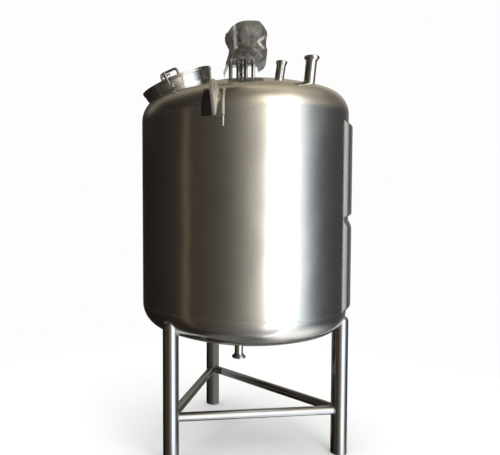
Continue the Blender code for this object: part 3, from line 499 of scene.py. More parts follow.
def piece(name, parts, body, material, replaces=(), slot="satin_steel", sharp=40.0):
    """One object from (points, cells) pairs that rides on a body and may stand for CAD nodes."""
    mesh = bpy.data.meshes.new(name)
    starts = np.cumsum([0] + [len(points) for points, cells in parts])
    points = np.concatenate([points for points, cells in parts])
    cells = np.concatenate([cells + start for (_, cells), start in zip(parts, starts)])
    mesh.vertices.add(len(points))
    mesh.vertices.foreach_set("co", points.astype(np.float32).ravel())
    mesh.loops.add(cells.size)
    mesh.loops.foreach_set("vertex_index", cells.astype(np.int32).ravel())
    mesh.polygons.add(len(cells))
    mesh.polygons.foreach_set("loop_start", np.arange(0, cells.size, 4, dtype=np.int32))
    mesh.update(calc_edges=True)
    mesh.validate()
    tidy_mesh(mesh)
    mesh.shade_smooth()
    mesh.set_sharp_from_angle(angle=radians(sharp))
    return enrol(new_object(name, mesh, material), body, replaces)


def enrol(made, body, replaces):
    """Hands a finished object to the frame: its body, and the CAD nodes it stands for."""
    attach(made, body)
    if replaces:
        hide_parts(*replaces)
    MADE[made.name] = sum(len(p.vertices) - 2 for p in made.data.polygons)
    return made


print("mesh helpers ready")


# %% Profiles, revolved shapes and tubes
def full_turn(count):
    """Angles all the way round, evenly apart, without the last one twice."""
    return np.linspace(0.0, 2 * pi, count, endpoint=False)


def ring(radius, height, angles):
    """Points on a level circle: x = r cos a, y = r sin a, z = height. Each may vary with the angle."""
    return np.stack([radius * np.cos(angles), radius * np.sin(angles), height + 0.0 * angles], 1)


def soft(corners, steps=4, closed=False):
    """Corners (x, y, radius) as a finer line. Each corner becomes a curve through its two cut points:
    the sum of the first point, the corner and the last point, weighted (1-t)^2, 2t(1-t) and t^2."""
    table = np.array([tuple(c) + (0.0,) * (3 - len(c)) for c in corners])
    spots, radii = table[:, :2], table[:, 2]
    count = len(spots)
    line = []
    for i in range(count):
        if not closed and i in (0, count - 1) or radii[i] == 0.0:
            line.append(spots[i][None])
            continue
        back, ahead = spots[i - 1] - spots[i], spots[(i + 1) % count] - spots[i]
        far_back, far_ahead = np.linalg.norm(back), np.linalg.norm(ahead)
        start = spots[i] + back / far_back * min(radii[i], 0.49 * far_back)
        end = spots[i] + ahead / far_ahead * min(radii[i], 0.49 * far_ahead)
        t = np.linspace(0.0, 1.0, steps + 1)[:, None]
        line.append((1 - t) ** 2 * start + 2 * t * (1 - t) * spots[i] + t**2 * end)
    line = np.concatenate(line)
    return np.concatenate([line, line[:1]]) if closed else line


def revolve(profile, place=None, steps=96):
    """A profile of (radius, height) rows carried round Z: x = r cos a, y = r sin a, z = height."""
    profile = np.asarray(profile)
    a = full_turn(steps)
    points = np.stack(
        [profile[:, :1] * np.cos(a), profile[:, :1] * np.sin(a), np.repeat(profile[:, 1:2], steps, 1)], -1
    )
    return surface(points if place is None else placed(points, place), wrap=True)


def tube(path, radius, across, around=12, closed=False):
    """A circle carried along a path. At each point the tangent T and the given direction N make the side
    T x N and the normal side x T, and the circle is radius * (cos b * side + sin b * normal)."""
    path = np.asarray(path, dtype=float)
    radius = np.broadcast_to(np.asarray(radius, dtype=float), len(path))
    if closed:
        tangent = np.roll(path, -1, 0) - np.roll(path, 1, 0)
    else:
        tangent = np.gradient(path, axis=0)
    tangent /= np.linalg.norm(tangent, axis=1, keepdims=True)
    side = np.cross(tangent, np.asarray(across, dtype=float))
    side /= np.linalg.norm(side, axis=1, keepdims=True)
    normal = np.cross(side, tangent)
    if closed:
        path, side, normal, radius = (np.concatenate([v, v[:1]]) for v in (path, side, normal, radius))
    else:
        ends = [path[:1]], [path[-1:]]
        path = np.concatenate([path[:1], path, path[-1:]])
        side, normal = (np.concatenate([v[:1], v, v[-1:]]) for v in (side, normal))
        radius = np.concatenate([[0.0], radius, [0.0]])
    b = full_turn(around)
    circle = np.cos(b)[None, :, None] * side[:, None] + np.sin(b)[None, :, None] * normal[:, None]
    return surface(path[:, None] + circle * radius[:, None, None], wrap=True)


def running_length(line):
    """The length along a line at each of its points."""
    return np.concatenate([[0.0], np.cumsum(np.linalg.norm(np.diff(line, axis=0), axis=1))])


def spread(path, step, closed=False):
    """The same line with points about one step apart."""
    path = np.asarray(path, dtype=float)
    if closed:
        path = np.concatenate([path, path[:1]])
    run = running_length(path)
    count = max(8, int(run[-1] / step))
    at = np.linspace(0.0, run[-1], count, endpoint=not closed)
    return np.stack([np.interp(at, run, path[:, k]) for k in range(3)], 1)


def bead(path, size, across, closed=True, ripple=0.12):
    """A weld bead: a thin tube whose radius swells with each puddle of the weld, twice its size apart."""
    line = spread(path, size * 0.42, closed)
    count = np.arange(len(line))
    swell = 1.0 + ripple * np.sin(count * 0.42 * pi) + 0.06 * np.sin(count * 0.173 + 1.0)
    return tube(line, size * swell, across, 8, closed)


def weld(name, beads, slot="satin_steel", material=WELD_STEEL):
    """Weld beads as one piece of the tank."""
    return piece(name, beads, "tank", material, slot=slot, sharp=80.0)


print("profile helpers ready")


# %% Places and the vessel's own shape
def outward(azimuth):
    """Level direction at an azimuth in degrees: 0 is the front (-Y), 90 the right (+X)."""
    return Vector((sin(radians(azimuth)), -cos(radians(azimuth)), 0.0))


def frame_at(origin, x_axis, z_axis):
    """A place with its own X and Z, and Y = Z x X."""
    z_axis = Vector(z_axis).normalized()
    x_axis = Vector(x_axis).normalized()
    turned = Matrix((x_axis, z_axis.cross(x_axis), z_axis)).transposed()
    return Matrix.Translation(origin) @ turned.to_4x4()


SHELL_RADIUS, WALL = 0.600, 0.005
GAP = 0.0003
CROWN, KNUCKLE = 1.457, 0.147
HUB = SHELL_RADIUS - KNUCKLE
REACH = CROWN - KNUCKLE
JOINT = asin(HUB / REACH)
CROWN_CENTRE = -REACH * cos(JOINT)


def rise(radius):
    """Height of a head's outer face over its tangent line: the crown's arc, then the knuckle's."""
    crown = CROWN_CENTRE + np.sqrt(np.maximum(CROWN**2 - radius**2, 0.0))
    knuckle = np.sqrt(np.maximum(KNUCKLE**2 - (radius - HUB) ** 2, 0.0))
    return np.where(radius < CROWN * sin(JOINT), crown, knuckle)


def outside(points):
    """How far points lie outside the vessel: from the axis beside the shell, and past a tangent line
    from the knuckle's circle or the crown's centre, whichever the point is over."""
    radius = np.hypot(points[..., 0], points[..., 1])
    over = np.maximum(points[..., 2] - TOP, BOTTOM - points[..., 2])
    crown = np.hypot(radius, over - CROWN_CENTRE) - CROWN
    knuckle = np.hypot(radius - HUB, over) - KNUCKLE
    head = np.where(np.arctan2(radius, over - CROWN_CENTRE) < JOINT, crown, knuckle)
    return np.where(over <= 0.0, radius - SHELL_RADIUS, head)


def meet(along, count, offset=0.0):
    """Where paths enter the vessel: the share of each path is halved between outside and inside."""
    low, high = np.zeros(count), np.ones(count)
    for _ in range(36):
        middle = (low + high) / 2
        inside = outside(along(middle)) < offset
        low, high = np.where(inside, low, middle), np.where(inside, middle, high)
    return along(low)


HEAD_STEPS = 18


def head_curve(offset):
    """(radius, height over the tangent line) of a dished head offset outwards, from pole to rim."""
    a = np.linspace(0.0, JOINT, HEAD_STEPS, endpoint=False)
    b = np.linspace(JOINT, pi / 2, HEAD_STEPS + 1)
    crown = np.stack([(CROWN + offset) * np.sin(a), CROWN_CENTRE + (CROWN + offset) * np.cos(a)], 1)
    knuckle = np.stack([HUB + (KNUCKLE + offset) * np.sin(b), (KNUCKLE + offset) * np.cos(b)], 1)
    return np.concatenate([crown, knuckle])


print("head depth %.4f m" % rise(np.array(0.0)))

# %% [markdown]
# ## The vessel
# The shell is one rolled plate with an upright weld, and each head is pressed from a flat disc. The CAD
# model has flat facets that a mirror-like finish would show, so a finely stepped skin stands for them. The
# holes for the manway, nozzles and shaft are cut by Boolean modifiers, which leave long thin faces. Their shading
# would show, so each corner's normal is set from the head's own formula.

# %% Shell
SHELL_PROFILE = [
    (SHELL_RADIUS, BOTTOM), (SHELL_RADIUS, 1.2), (SHELL_RADIUS, 1.6), (SHELL_RADIUS, TOP),
    (SHELL_RADIUS - WALL, TOP), (SHELL_RADIUS - WALL, 1.6), (SHELL_RADIUS - WALL, 1.2),
    (SHELL_RADIUS - WALL, BOTTOM), (SHELL_RADIUS, BOTTOM),
]
shell_nodes = ("shell_front", "shell_right", "shell_back", "shell_left")
piece("shell_skin", [revolve(SHELL_PROFILE, steps=240)], "tank", SATIN, shell_nodes)
print("shell", MADE["shell_skin"], "triangles")


# %% Places of what passes through the heads
def crown_height(x, y):
    return TOP + float(rise(np.hypot(x, y)))


MANWAY_AZIMUTH, MANWAY_RADIUS, MANWAY_HEIGHT, MANWAY_TILT = -78.0, 0.390, 2.1685, 20.5
out = outward(MANWAY_AZIMUTH)
lean = radians(MANWAY_TILT)
MANWAY = frame_at(
    out * MANWAY_RADIUS + Vector((0.0, 0.0, MANWAY_HEIGHT)),
    out * cos(lean) - Vector((0.0, 0.0, sin(lean))),
    out * sin(lean) + Vector((0.0, 0.0, cos(lean))),
)
NOZZLES = {
    "inlet_nozzle": {"xy": (0.351, -0.320), "lean": 5.3, "length": 0.139, "pipe": 0.0285, "rim": 0.0405},
    "vent_nozzle": {"xy": (0.2065, -0.150), "lean": 8.0, "length": 0.105, "pipe": 0.0255, "rim": 0.0325},
}
for at in NOZZLES.values():
    x, y = at["xy"]
    at["place"] = Matrix.Translation((x, y, crown_height(x, y))) @ Matrix.Rotation(radians(at["lean"]), 4, "Y")
OUTLET_X, OUTLET_LENGTH, OUTLET_PIPE, OUTLET_RIM = -0.012, 0.122, 0.0255, 0.043
OUTLET = Matrix.Translation((OUTLET_X, 0.0, BOTTOM - float(rise(np.array(abs(OUTLET_X))))))
OUTLET = OUTLET @ Matrix.Rotation(pi, 4, "X")
NECK_FOOT, NECK_RIM = 0.196, 0.2135
print("manway rim centre", [round(v, 4) for v in MANWAY.translation])


# %% Heads with their holes
def cutter(radius, low, high, place):
    """A closed cylinder along a place's Z, for a Boolean cut."""
    profile = [(0.0, low), (radius, low), (radius, high), (0.0, high)]
    mesh = bpy.data.meshes.new("cutter")
    points, cells = revolve(profile, place, 64)
    mesh.from_pydata(points.tolist(), [], cells.tolist())
    tidy_mesh(mesh)
    made = bpy.data.objects.new("cutter", mesh)
    bpy.context.scene.collection.objects.link(made)
    return made


def evaluated(made):
    """Swaps an object's mesh for the one its modifiers make, and takes the modifiers off."""
    bpy.context.view_layer.update()
    graph = bpy.context.evaluated_depsgraph_get()
    mesh = bpy.data.meshes.new_from_object(made.evaluated_get(graph))
    made.modifiers.clear()
    made.data = mesh
    return made


def true_normals(mesh, sign):
    """Sets each face corner's normal to the slope of a head: away from the knuckle's circle or the crown's
    centre, turned over on the inner face. Cut edges keep their own flat normals."""
    corner_vertex = np.zeros(len(mesh.loops), dtype=np.int32)
    mesh.loops.foreach_get("vertex_index", corner_vertex)
    places = np.zeros(len(mesh.vertices) * 3, dtype=np.float32)
    mesh.vertices.foreach_get("co", places)
    places = places.reshape(-1, 3)[corner_vertex]
    flat = np.zeros(len(mesh.polygons) * 3, dtype=np.float32)
    mesh.polygons.foreach_get("normal", flat)
    total = np.zeros(len(mesh.polygons), dtype=np.int32)
    mesh.polygons.foreach_get("loop_total", total)
    flat = np.repeat(flat.reshape(-1, 3), total, axis=0)
    radius = np.hypot(places[:, 0], places[:, 1])
    over = sign * (places[:, 2] - (TOP if sign > 0 else BOTTOM))
    crown = np.arctan2(radius, over - CROWN_CENTRE) < JOINT
    level = np.where(crown, radius, radius - HUB)
    height = np.where(crown, over - CROWN_CENTRE, over) * sign
    away = np.stack(
        [level * places[:, 0] / np.maximum(radius, 1e-9), level * places[:, 1] / np.maximum(radius, 1e-9), height], 1
    )
    away /= np.linalg.norm(away, axis=1, keepdims=True)
    match = (away * flat).sum(1)
    normals = np.where((np.abs(match) > 0.9)[:, None], away * np.sign(match)[:, None], flat)
    mesh.normals_split_custom_set(normals.tolist())


def head(name, sign, tangent, holes, material, node):
    """A dished head: its outer curve and its inner one, a wall apart, turned round the axis and then cut."""
    outer = head_curve(0.0) * (1, sign) + (0, tangent)
    inner = head_curve(-WALL) * (1, sign) + (0, tangent)
    parts = [revolve(np.concatenate([outer, inner[::-1]]), steps=180)]
    made = piece(name, parts, "tank", material, (node,), "head_steel" if sign > 0 else "satin_steel")
    for hole in holes:
        cut = made.modifiers.new("hole", "BOOLEAN")
        cut.operation = "DIFFERENCE"
        cut.solver = "EXACT"
        cut.object = hole
    evaluated(made)
    for hole in holes:
        bpy.data.objects.remove(hole, do_unlink=True)
    made.data.shade_smooth()
    true_normals(made.data, sign)
    return made


top_holes = [cutter(NECK_FOOT - 0.002, -0.2, 0.02, MANWAY), cutter(0.024, TOP, 2.3, Matrix.Identity(4))]
top_holes += [cutter(at["pipe"] - 0.001, -0.06, 0.06, at["place"]) for at in NOZZLES.values()]
head("top_head_skin", 1, TOP, top_holes, HEAD_STEEL, "top_head")
bottom_holes = [cutter(OUTLET_PIPE - 0.001, -0.06, 0.06, OUTLET)]
head("bottom_head_skin", -1, BOTTOM, bottom_holes, SATIN, "bottom_head")
print("heads", MADE["top_head_skin"], MADE["bottom_head_skin"])

# %% [markdown]
# ## The jacket and the lug pads
# Each jacket zone is a thin plate bent outwards at all four edges and welded down to the shell, and a lug
# pad is a thicker plate with square edges. Both are the vessel's own surface raised by a depth. The
# share of the depth grows with the distance from the nearest edge, and a soft minimum rounds the bend.


# %% Raised plates
def soft_step(share, bend):
    """The lower of the share and 1, with the corner between them rounded over the bend's width."""
    near = np.maximum(bend - np.abs(share - 1.0), 0.0) / bend
    return np.maximum(np.minimum(share, 1.0) - near**2 * bend / 4, 0.0)


def edge_steps(length, slope, middle):
    """Places along a side: close together over the two slopes and wide apart between them."""
    ends = np.linspace(0.0, slope * 1.6, 12)
    between = np.linspace(slope * 1.6, length - slope * 1.6, middle + 2)[1:-1]
    return np.concatenate([ends, between, length - ends[::-1]])


PLATE_BEAD, PLATE_ACROSS = 0.0026, (0.31, 0.22, 0.47)


def raised_plate(azimuths, line, normals, depth, side_slope, end_slopes, middle, bend=0.35):
    """Base point + normal * depth * soft_step(nearest edge / slope), over an azimuth and a line (r, z). The
    line's two ends have slopes of their own."""
    start, end = (radians(a) for a in azimuths)
    run = running_length(line)
    u = edge_steps((end - start) * SHELL_RADIUS, side_slope, middle)
    v = edge_steps(run[-1], max(end_slopes), 10)
    base = np.stack([np.interp(v, run, line[:, k]) for k in (0, 1)], 1)
    away = np.stack([np.interp(v, run, normals[:, k]) for k in (0, 1)], 1)
    away /= np.linalg.norm(away, axis=1, keepdims=True)
    nearest_u = np.minimum(u, u[-1] - u) / side_slope
    nearest_v = np.minimum(v / end_slopes[0], (v[-1] - v) / end_slopes[1])
    share = soft_step(np.minimum(nearest_v[:, None], nearest_u[None]), bend)
    a = start + u / SHELL_RADIUS
    parts = []
    for amount in (share, np.zeros_like(share)):
        lift = GAP + depth * amount
        r = base[:, :1] + away[:, :1] * lift
        z = base[:, 1:] + away[:, 1:] * lift
        parts.append(surface(np.stack([r * np.sin(a), -r * np.cos(a), z], -1)))
    return parts


def plate_edge(azimuths, line, lift):
    """The closed line round a raised plate's foot."""
    start, end = (radians(a) for a in azimuths)
    a = np.linspace(start, end, 60)
    sides = [(line[:1].repeat(60, 0), a), (line, np.full(len(line), end))]
    sides += [(line[-1:].repeat(60, 0), a[::-1]), (line[::-1], np.full(len(line), start))]
    loops = []
    for rz, turn in sides:
        loops.append(np.stack([(rz[:, 0] + lift) * np.sin(turn), -(rz[:, 0] + lift) * np.cos(turn), rz[:, 1]], 1)[:-1])
    return np.concatenate(loops)


JACKET_DEPTH, JACKET_SIDE_SLOPE = 0.021, 0.0314
JACKET_SPAN = (65.0, 245.0)
JACKET_ZONES = {"jacket_upper": (1.361, 1.887, 0.018, 0.018), "jacket_lower": (0.842, 1.353, 0.018, 0.045)}
for name, (low, high, *slopes) in JACKET_ZONES.items():
    z = np.linspace(low, high, 12)
    line = np.stack([np.full(12, SHELL_RADIUS), z], 1)
    normals = np.stack([np.ones(12), np.zeros(12)], 1)
    parts = raised_plate(JACKET_SPAN, line, normals, JACKET_DEPTH - GAP, JACKET_SIDE_SLOPE, slopes, 90)
    piece(name + "_skin", parts, "tank", JACKET_STEEL, (name,), "jacket_steel", sharp=60.0)
    weld(name + "_weld", [bead(plate_edge(JACKET_SPAN, line, 0.0008), PLATE_BEAD, PLATE_ACROSS)], "jacket_steel")
print("jackets", MADE["jacket_upper_skin"], MADE["jacket_upper_weld"])

# %% Lug pads
PAD_WIDTH, PAD_THICKNESS, PAD_SLOPE, PAD_TURN, PAD_BOTTOM = 0.120, 0.006, 0.0016, -1.1, 1.890
LUG_AZIMUTHS = {"front": -13.0, "back": 167.0}
pad_top = JOINT + (pi / 2 - JOINT) * 0.4
b = np.linspace(pad_top, pi / 2, 16)
knuckle_line = np.stack([HUB + KNUCKLE * np.sin(b), TOP + KNUCKLE * np.cos(b)], 1)
pad_line = np.concatenate([knuckle_line, [(SHELL_RADIUS, 1.91), (SHELL_RADIUS, PAD_BOTTOM)]])
pad_normals = np.concatenate([np.stack([np.sin(b), np.cos(b)], 1), [(1.0, 0.0), (1.0, 0.0)]])
half_turn = degrees(PAD_WIDTH / SHELL_RADIUS) / 2
for side, azimuth in LUG_AZIMUTHS.items():
    span = (azimuth + PAD_TURN - half_turn, azimuth + PAD_TURN + half_turn)
    parts = raised_plate(span, pad_line, pad_normals, PAD_THICKNESS, PAD_SLOPE, (PAD_SLOPE, PAD_SLOPE), 10, bend=0.9)
    piece("lug_pad_skin_" + side, parts, "tank", PAD_STEEL, ("lug_pad_" + side,), sharp=60.0)
    weld("lug_pad_weld_" + side, [bead(plate_edge(span, pad_line, 0.001), PLATE_BEAD, PLATE_ACROSS)])
run = [outward(-8.9) * (SHELL_RADIUS + 0.0015) + Vector((0.0, 0.0, height)) for height in (1.8875, 1.837)]
weld("lug_pad_tail", [bead(run, 0.0058, (1.0, 0.0, 0.0), closed=False)], material=CAST_STEEL)
print("pads", MADE["lug_pad_skin_front"])

# %% [markdown]
# ## Legs and braces
# The legs are capped tubes, coped to the bottom head's knuckle and welded all round. A turned profile gives
# the tube, and where it would enter the vessel its height is held at the head's underside. The braces run
# leg to leg, and their welds swell softly over both tubes.

# %% Legs
LEG_RADIUS, LEG_CIRCLE, LEG_TOP, LEG_ROUND = 0.04445, 0.569, 0.799, 0.030
LEG_AZIMUTHS = {"leg_right": 77.0, "leg_left": -42.0, "leg_back": 200.3}
leg_line = soft([(0.0, 0.0), (LEG_RADIUS, 0.0, 0.003), (LEG_RADIUS, 0.20), (LEG_RADIUS, 0.60)], 3)
leg_side = np.stack([np.full(40, LEG_RADIUS), np.linspace(0.62, LEG_TOP - LEG_ROUND, 40)], 1)
arc = np.linspace(0.0, pi / 2, 14)
inner_radius = LEG_RADIUS - LEG_ROUND
leg_arc = np.stack([inner_radius + LEG_ROUND * np.cos(arc), LEG_TOP - LEG_ROUND + LEG_ROUND * np.sin(arc)], 1)
leg_cap = np.stack([np.linspace(inner_radius, 0.0, 8), np.full(8, LEG_TOP)], 1)
LEG_PROFILE = np.concatenate([leg_line, leg_side, leg_arc[1:], leg_cap[1:]])


def underside(points):
    """Height of the bottom head's outer face over level places, and no limit beyond the shell."""
    radius = np.hypot(points[..., 0], points[..., 1])
    return np.where(radius < SHELL_RADIUS, BOTTOM - rise(radius), 9.0)


def build_leg(name, azimuth):
    """One leg as its turned profile, held under the head, with the weld where it meets the vessel."""
    axis = Matrix.Translation(outward(azimuth) * LEG_CIRCLE)
    points, cells = revolve(LEG_PROFILE, axis, 72)
    points[:, 2] = np.minimum(points[:, 2], underside(points) - 0.0002)
    piece(name + "_skin", [(points, cells)], "tank", LEG_STEEL, (name,), "leg_steel")
    climb = np.concatenate([leg_side, leg_arc[1:], leg_cap[1:]])
    run = running_length(climb)
    a = full_turn(180)

    def along(share):
        """Paths that climb the leg's side and close over its cap, one for each angle."""
        r = np.interp(share * run[-1], run, climb[:, 0])
        z = np.interp(share * run[-1], run, climb[:, 1])
        return placed(ring(r, z, a), axis)

    seam = bead(meet(along, len(a)), 0.0028, outward(azimuth + 20.0) + Vector((0.0, 0.0, 0.9)))
    weld(name + "_weld", [seam], "leg_steel")


for name, azimuth in LEG_AZIMUTHS.items():
    build_leg(name, azimuth)
print("legs", MADE["leg_left_skin"], MADE["leg_left_weld"])

# %% Braces
BRACE_RADIUS, BRACE_HEIGHT, BRACE_INSET = 0.0254, 0.2526, 0.02
BRACES = {
    "brace_front": ("leg_left", "leg_right"),
    "brace_left": ("leg_back", "leg_left"),
    "brace_right": ("leg_right", "leg_back"),
}
lift = Vector((0.0, 0.0, BRACE_HEIGHT))
for name, (first, second) in BRACES.items():
    start = outward(LEG_AZIMUTHS[first]) * LEG_CIRCLE + lift
    end = outward(LEG_AZIMUTHS[second]) * LEG_CIRCLE + lift
    length = (end - start).length
    place = frame_at(start, (0.0, 0.0, 1.0), end - start)
    profile = [(0.0, BRACE_INSET), (BRACE_RADIUS, BRACE_INSET)]
    profile += [(BRACE_RADIUS, length * share) for share in (0.25, 0.5, 0.75)]
    profile += [(BRACE_RADIUS, length - BRACE_INSET), (0.0, length - BRACE_INSET)]
    piece(name + "_skin", [revolve(profile, place, 56)], "tank", BRACE_STEEL, (name,), "leg_steel")
    a = full_turn(120)
    depth = np.sqrt(LEG_RADIUS**2 - (BRACE_RADIUS * np.sin(a)) ** 2)
    seams = []
    for height in (depth, length - depth):
        seams.append(bead(placed(ring(BRACE_RADIUS, height, a), place), 0.0036, end - start, ripple=0.06))
    weld(name + "_weld", seams, "leg_steel", BRACE_STEEL)
print("braces", MADE["brace_front_skin"], MADE["brace_front_weld"])

# %% [markdown]
# ## The manway
# A flared neck stands in the head and carries a dished lid on a hinge, held by an eye bolt. The neck goes
# straight through the head and ends just inside it, so the lower rim's height is worked out for each
# angle. The lid is turned, with a soft rubber ring in the joint.


# %% Manway neck
MANWAY_UP = MANWAY.to_3x3() @ Vector((0.0, 0.0, 1.0))
NECK_STEPS, NECK_START, NECK_DROP, NECK_INSIDE = 192, -0.063, 0.2, 0.020
a = full_turn(NECK_STEPS)


def manway_place(angle, radius, height):
    """X points outwards at an angle from the manway's front, Z along its axis."""
    turn = radians(angle)
    across = MANWAY.to_3x3() @ Vector((-sin(turn), cos(turn), 0.0))
    return frame_at(MANWAY.translation + across * radius + MANWAY_UP * height, across, MANWAY_UP)


def neck_at(radius):
    """Paths down the neck's wall, one for each angle."""
    return lambda share: placed(ring(radius, NECK_START - NECK_DROP * share, a), MANWAY)


neck_outer = soft([
    (NECK_RIM - 0.010, 0.0), (NECK_RIM, 0.0, 0.0022), (NECK_RIM, -0.008, 0.0015), (NECK_RIM - 0.003, -0.010, 0.002),
    (NECK_FOOT, -0.062, 0.012), (NECK_FOOT, -0.075),
], 5)
neck_inner = soft([
    (NECK_FOOT - WALL, -0.075), (NECK_FOOT - WALL, -0.062, 0.012), (NECK_RIM - 0.008, -0.003, 0.004),
    (NECK_RIM - 0.010, 0.0),
], 5)
rim_grid = np.concatenate([neck_outer, neck_outer[-1:], neck_inner[:1], neck_inner])
grid = np.stack([
    rim_grid[:, :1] * np.cos(a), rim_grid[:, :1] * np.sin(a), np.repeat(rim_grid[:, 1:], NECK_STEPS, 1)
], -1)
grid = placed(grid, MANWAY)
foot = len(neck_outer)
grid[foot] = meet(neck_at(NECK_FOOT), NECK_STEPS, -NECK_INSIDE)
grid[foot + 1] = meet(neck_at(NECK_FOOT - WALL), NECK_STEPS, -NECK_INSIDE)
piece("manway_neck_skin", [surface(grid, wrap=True)], "tank", SATIN, ("manway_neck",))
weld("manway_neck_weld", [bead(meet(neck_at(NECK_FOOT), NECK_STEPS), 0.003, MANWAY_UP)])
print("neck", MADE["manway_neck_skin"])

# %% Manway lid
LID_RADIUS, LID_EDGE, LID_SEAT, LID_CROWN, LID_PLATE = 0.2155, 0.009, 0.022, 0.030, 0.004
flat = LID_RADIUS - LID_SEAT
share = np.linspace(0.0, 1.0, 26)
crown = np.stack([flat * share, GAP + LID_EDGE + (LID_CROWN - LID_EDGE) * np.cos(pi / 2 * share) ** 1.5], 1)
edge = soft([
    (flat, LID_EDGE), (LID_RADIUS, LID_EDGE, 0.003), (LID_RADIUS, 0.0006, 0.0025), (LID_RADIUS - 0.006, 0.0006),
], 5)
seat = np.array([(flat, 0.0006)])
lid = np.concatenate([crown, edge[1:], seat, (crown - (0.0, LID_PLATE))[::-1]])
piece("manway_lid_skin", [revolve(lid, MANWAY, 192)], "lid", SATIN, ("manway_lid",), sharp=50.0)
gasket = soft([
    (0.2085, -0.0012, 0.0006), (0.2126, -0.0012, 0.0010), (0.2126, 0.0018, 0.0010), (0.2085, 0.0018, 0.0006),
], 3, closed=True)
piece("lid_gasket", [revolve(gasket, MANWAY, 160)], "lid", RUBBER)
print("lid", MADE["manway_lid_skin"])

# %% Lid handle
CLAMP_ANGLE = -19.5
HANDLE_RADIUS, HANDLE_HALF, HANDLE_HEIGHT, HANDLE_BEND = 0.0075, 0.050, 0.056, 0.020
handle_place = manway_place(CLAMP_ANGLE, 0.135, 0.0)
bow = soft([
    (-HANDLE_HALF, 0.0125), (-HANDLE_HALF, HANDLE_HEIGHT, HANDLE_BEND), (HANDLE_HALF, HANDLE_HEIGHT, HANDLE_BEND),
    (HANDLE_HALF, 0.0125),
], 10)
path = placed(spread(np.stack([bow[:, 0] * 0.0, bow[:, 0], bow[:, 1]], 1), 0.004), handle_place)
across = handle_place.to_3x3() @ Vector((1.0, 0.0, 0.0))
parts = [tube(path, HANDLE_RADIUS, across, 20)]
piece("lid_handle_skin", parts, "lid", DULL_STEEL, ("lid_handle",), "polished_steel")
foot_ring = ring(HANDLE_RADIUS + 0.0004, 0.0148, a[::8])
feet = []
for side in (-1, 1):
    circle = foot_ring + (0.0, side * HANDLE_HALF, 0.0)
    circle[:, 2] -= 0.06 * foot_ring[:, 0]
    feet.append(bead(placed(circle, handle_place), 0.0018, MANWAY_UP))
piece("lid_handle_weld", feet, "lid", WELD_STEEL, sharp=80.0)
print("handle", MADE["lid_handle_skin"])

# %% Swing bolt with its thread, and the hand nut
bolt_place = manway_place(CLAMP_ANGLE, 0.229, -0.040) @ Matrix.Rotation(radians(30.0), 4, "Y")
eye_place = bolt_place @ Matrix.Rotation(radians(90.0), 4, "X")
eye = soft([(0.0055, -0.007, 0.0012), (0.011, -0.007, 0.002), (0.011, 0.007, 0.002), (0.0055, 0.007, 0.0012)], 4, True)
rod_rows = np.linspace(0.0085, 0.0895, 320)
turns = full_turn(20)
thread = 0.5 - np.abs(((rod_rows[:, None] / 0.00175 - turns[None] / (2 * pi)) % 1.0) - 0.5)
cut = np.clip((rod_rows - 0.030) / 0.002, 0.0, 1.0)[:, None]
rod_radius = 0.006 - cut * (0.5 - thread) * 0.0016
rod = np.stack([
    rod_radius * np.cos(turns), rod_radius * np.sin(turns), np.repeat(rod_rows[:, None], 20, 1)
], -1)
ends = np.zeros((1, 20, 3))
rod = np.concatenate([ends + (0, 0, 0.0085), rod, ends + (0, 0, 0.0900)])
parts = [revolve(eye, eye_place, 40), surface(placed(rod, bolt_place), wrap=True)]
piece("swing_bolt_skin", parts, "clamp", CAST_STEEL, ("swing_bolt",), "polished_steel", sharp=50.0)
collar = soft([
    (0.0062, 0.056, 0.0006), (0.0110, 0.056, 0.0016), (0.0098, 0.066, 0.004), (0.0110, 0.076, 0.0016),
    (0.0062, 0.076, 0.0006),
], 4, closed=True)
wing = soft([(0.0, 0.0085), (0.0048, 0.0085), (0.0040, 0.020, 0.006), (0.0048, 0.0300, 0.0035), (0.0, 0.0300)], 5)
parts = [revolve(collar, bolt_place, 40)]
for side in (-90.0, 90.0):
    wing_place = bolt_place @ Matrix.Translation((0.0, 0.0, 0.066)) @ Matrix.Rotation(radians(side), 4, "X")
    parts.append(revolve(wing, wing_place, 24))
piece("hand_nut_skin", parts, "clamp", CAST_STEEL, ("hand_nut",), "polished_steel", sharp=50.0)
print("bolt", MADE["swing_bolt_skin"], "nut", MADE["hand_nut_skin"])

# %% [markdown]
# ## Plates, brackets and blades
# Lugs, the lid's ear and arm, the brackets, pins and stirrer blades are flame-cut or sawn from plate and
# ground by hand. Their CAD shapes are right but their edges are knife sharp, so each gets a rounded copy:
# the copy's triangles are joined to whole faces, and a Bevel modifier rounds the edges.


# %% Rounded copies
def rounded_copy(node, body, material, width, segments=3):
    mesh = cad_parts[node].data.copy()
    work = bmesh.new()
    work.from_mesh(mesh)
    bmesh.ops.remove_doubles(work, verts=work.verts, dist=0.00001)
    bmesh.ops.dissolve_limit(work, angle_limit=radians(0.5), verts=work.verts, edges=work.edges)
    bmesh.ops.recalc_face_normals(work, faces=work.faces)
    work.to_mesh(mesh)
    work.free()
    mesh.name = node + "_form"
    made = new_object(node + "_form", mesh, material)
    edges = made.modifiers.new("edges", "BEVEL")
    edges.width = width
    edges.segments = segments
    edges.limit_method = "ANGLE"
    edges.angle_limit = radians(32.0)
    edges.use_clamp_overlap = True
    evaluated(made)
    made.data.materials.clear()
    made.data.materials.append(material)
    made.data.shade_smooth()
    made.data.set_sharp_from_angle(angle=radians(31.0))
    return enrol(made, body, (node,))


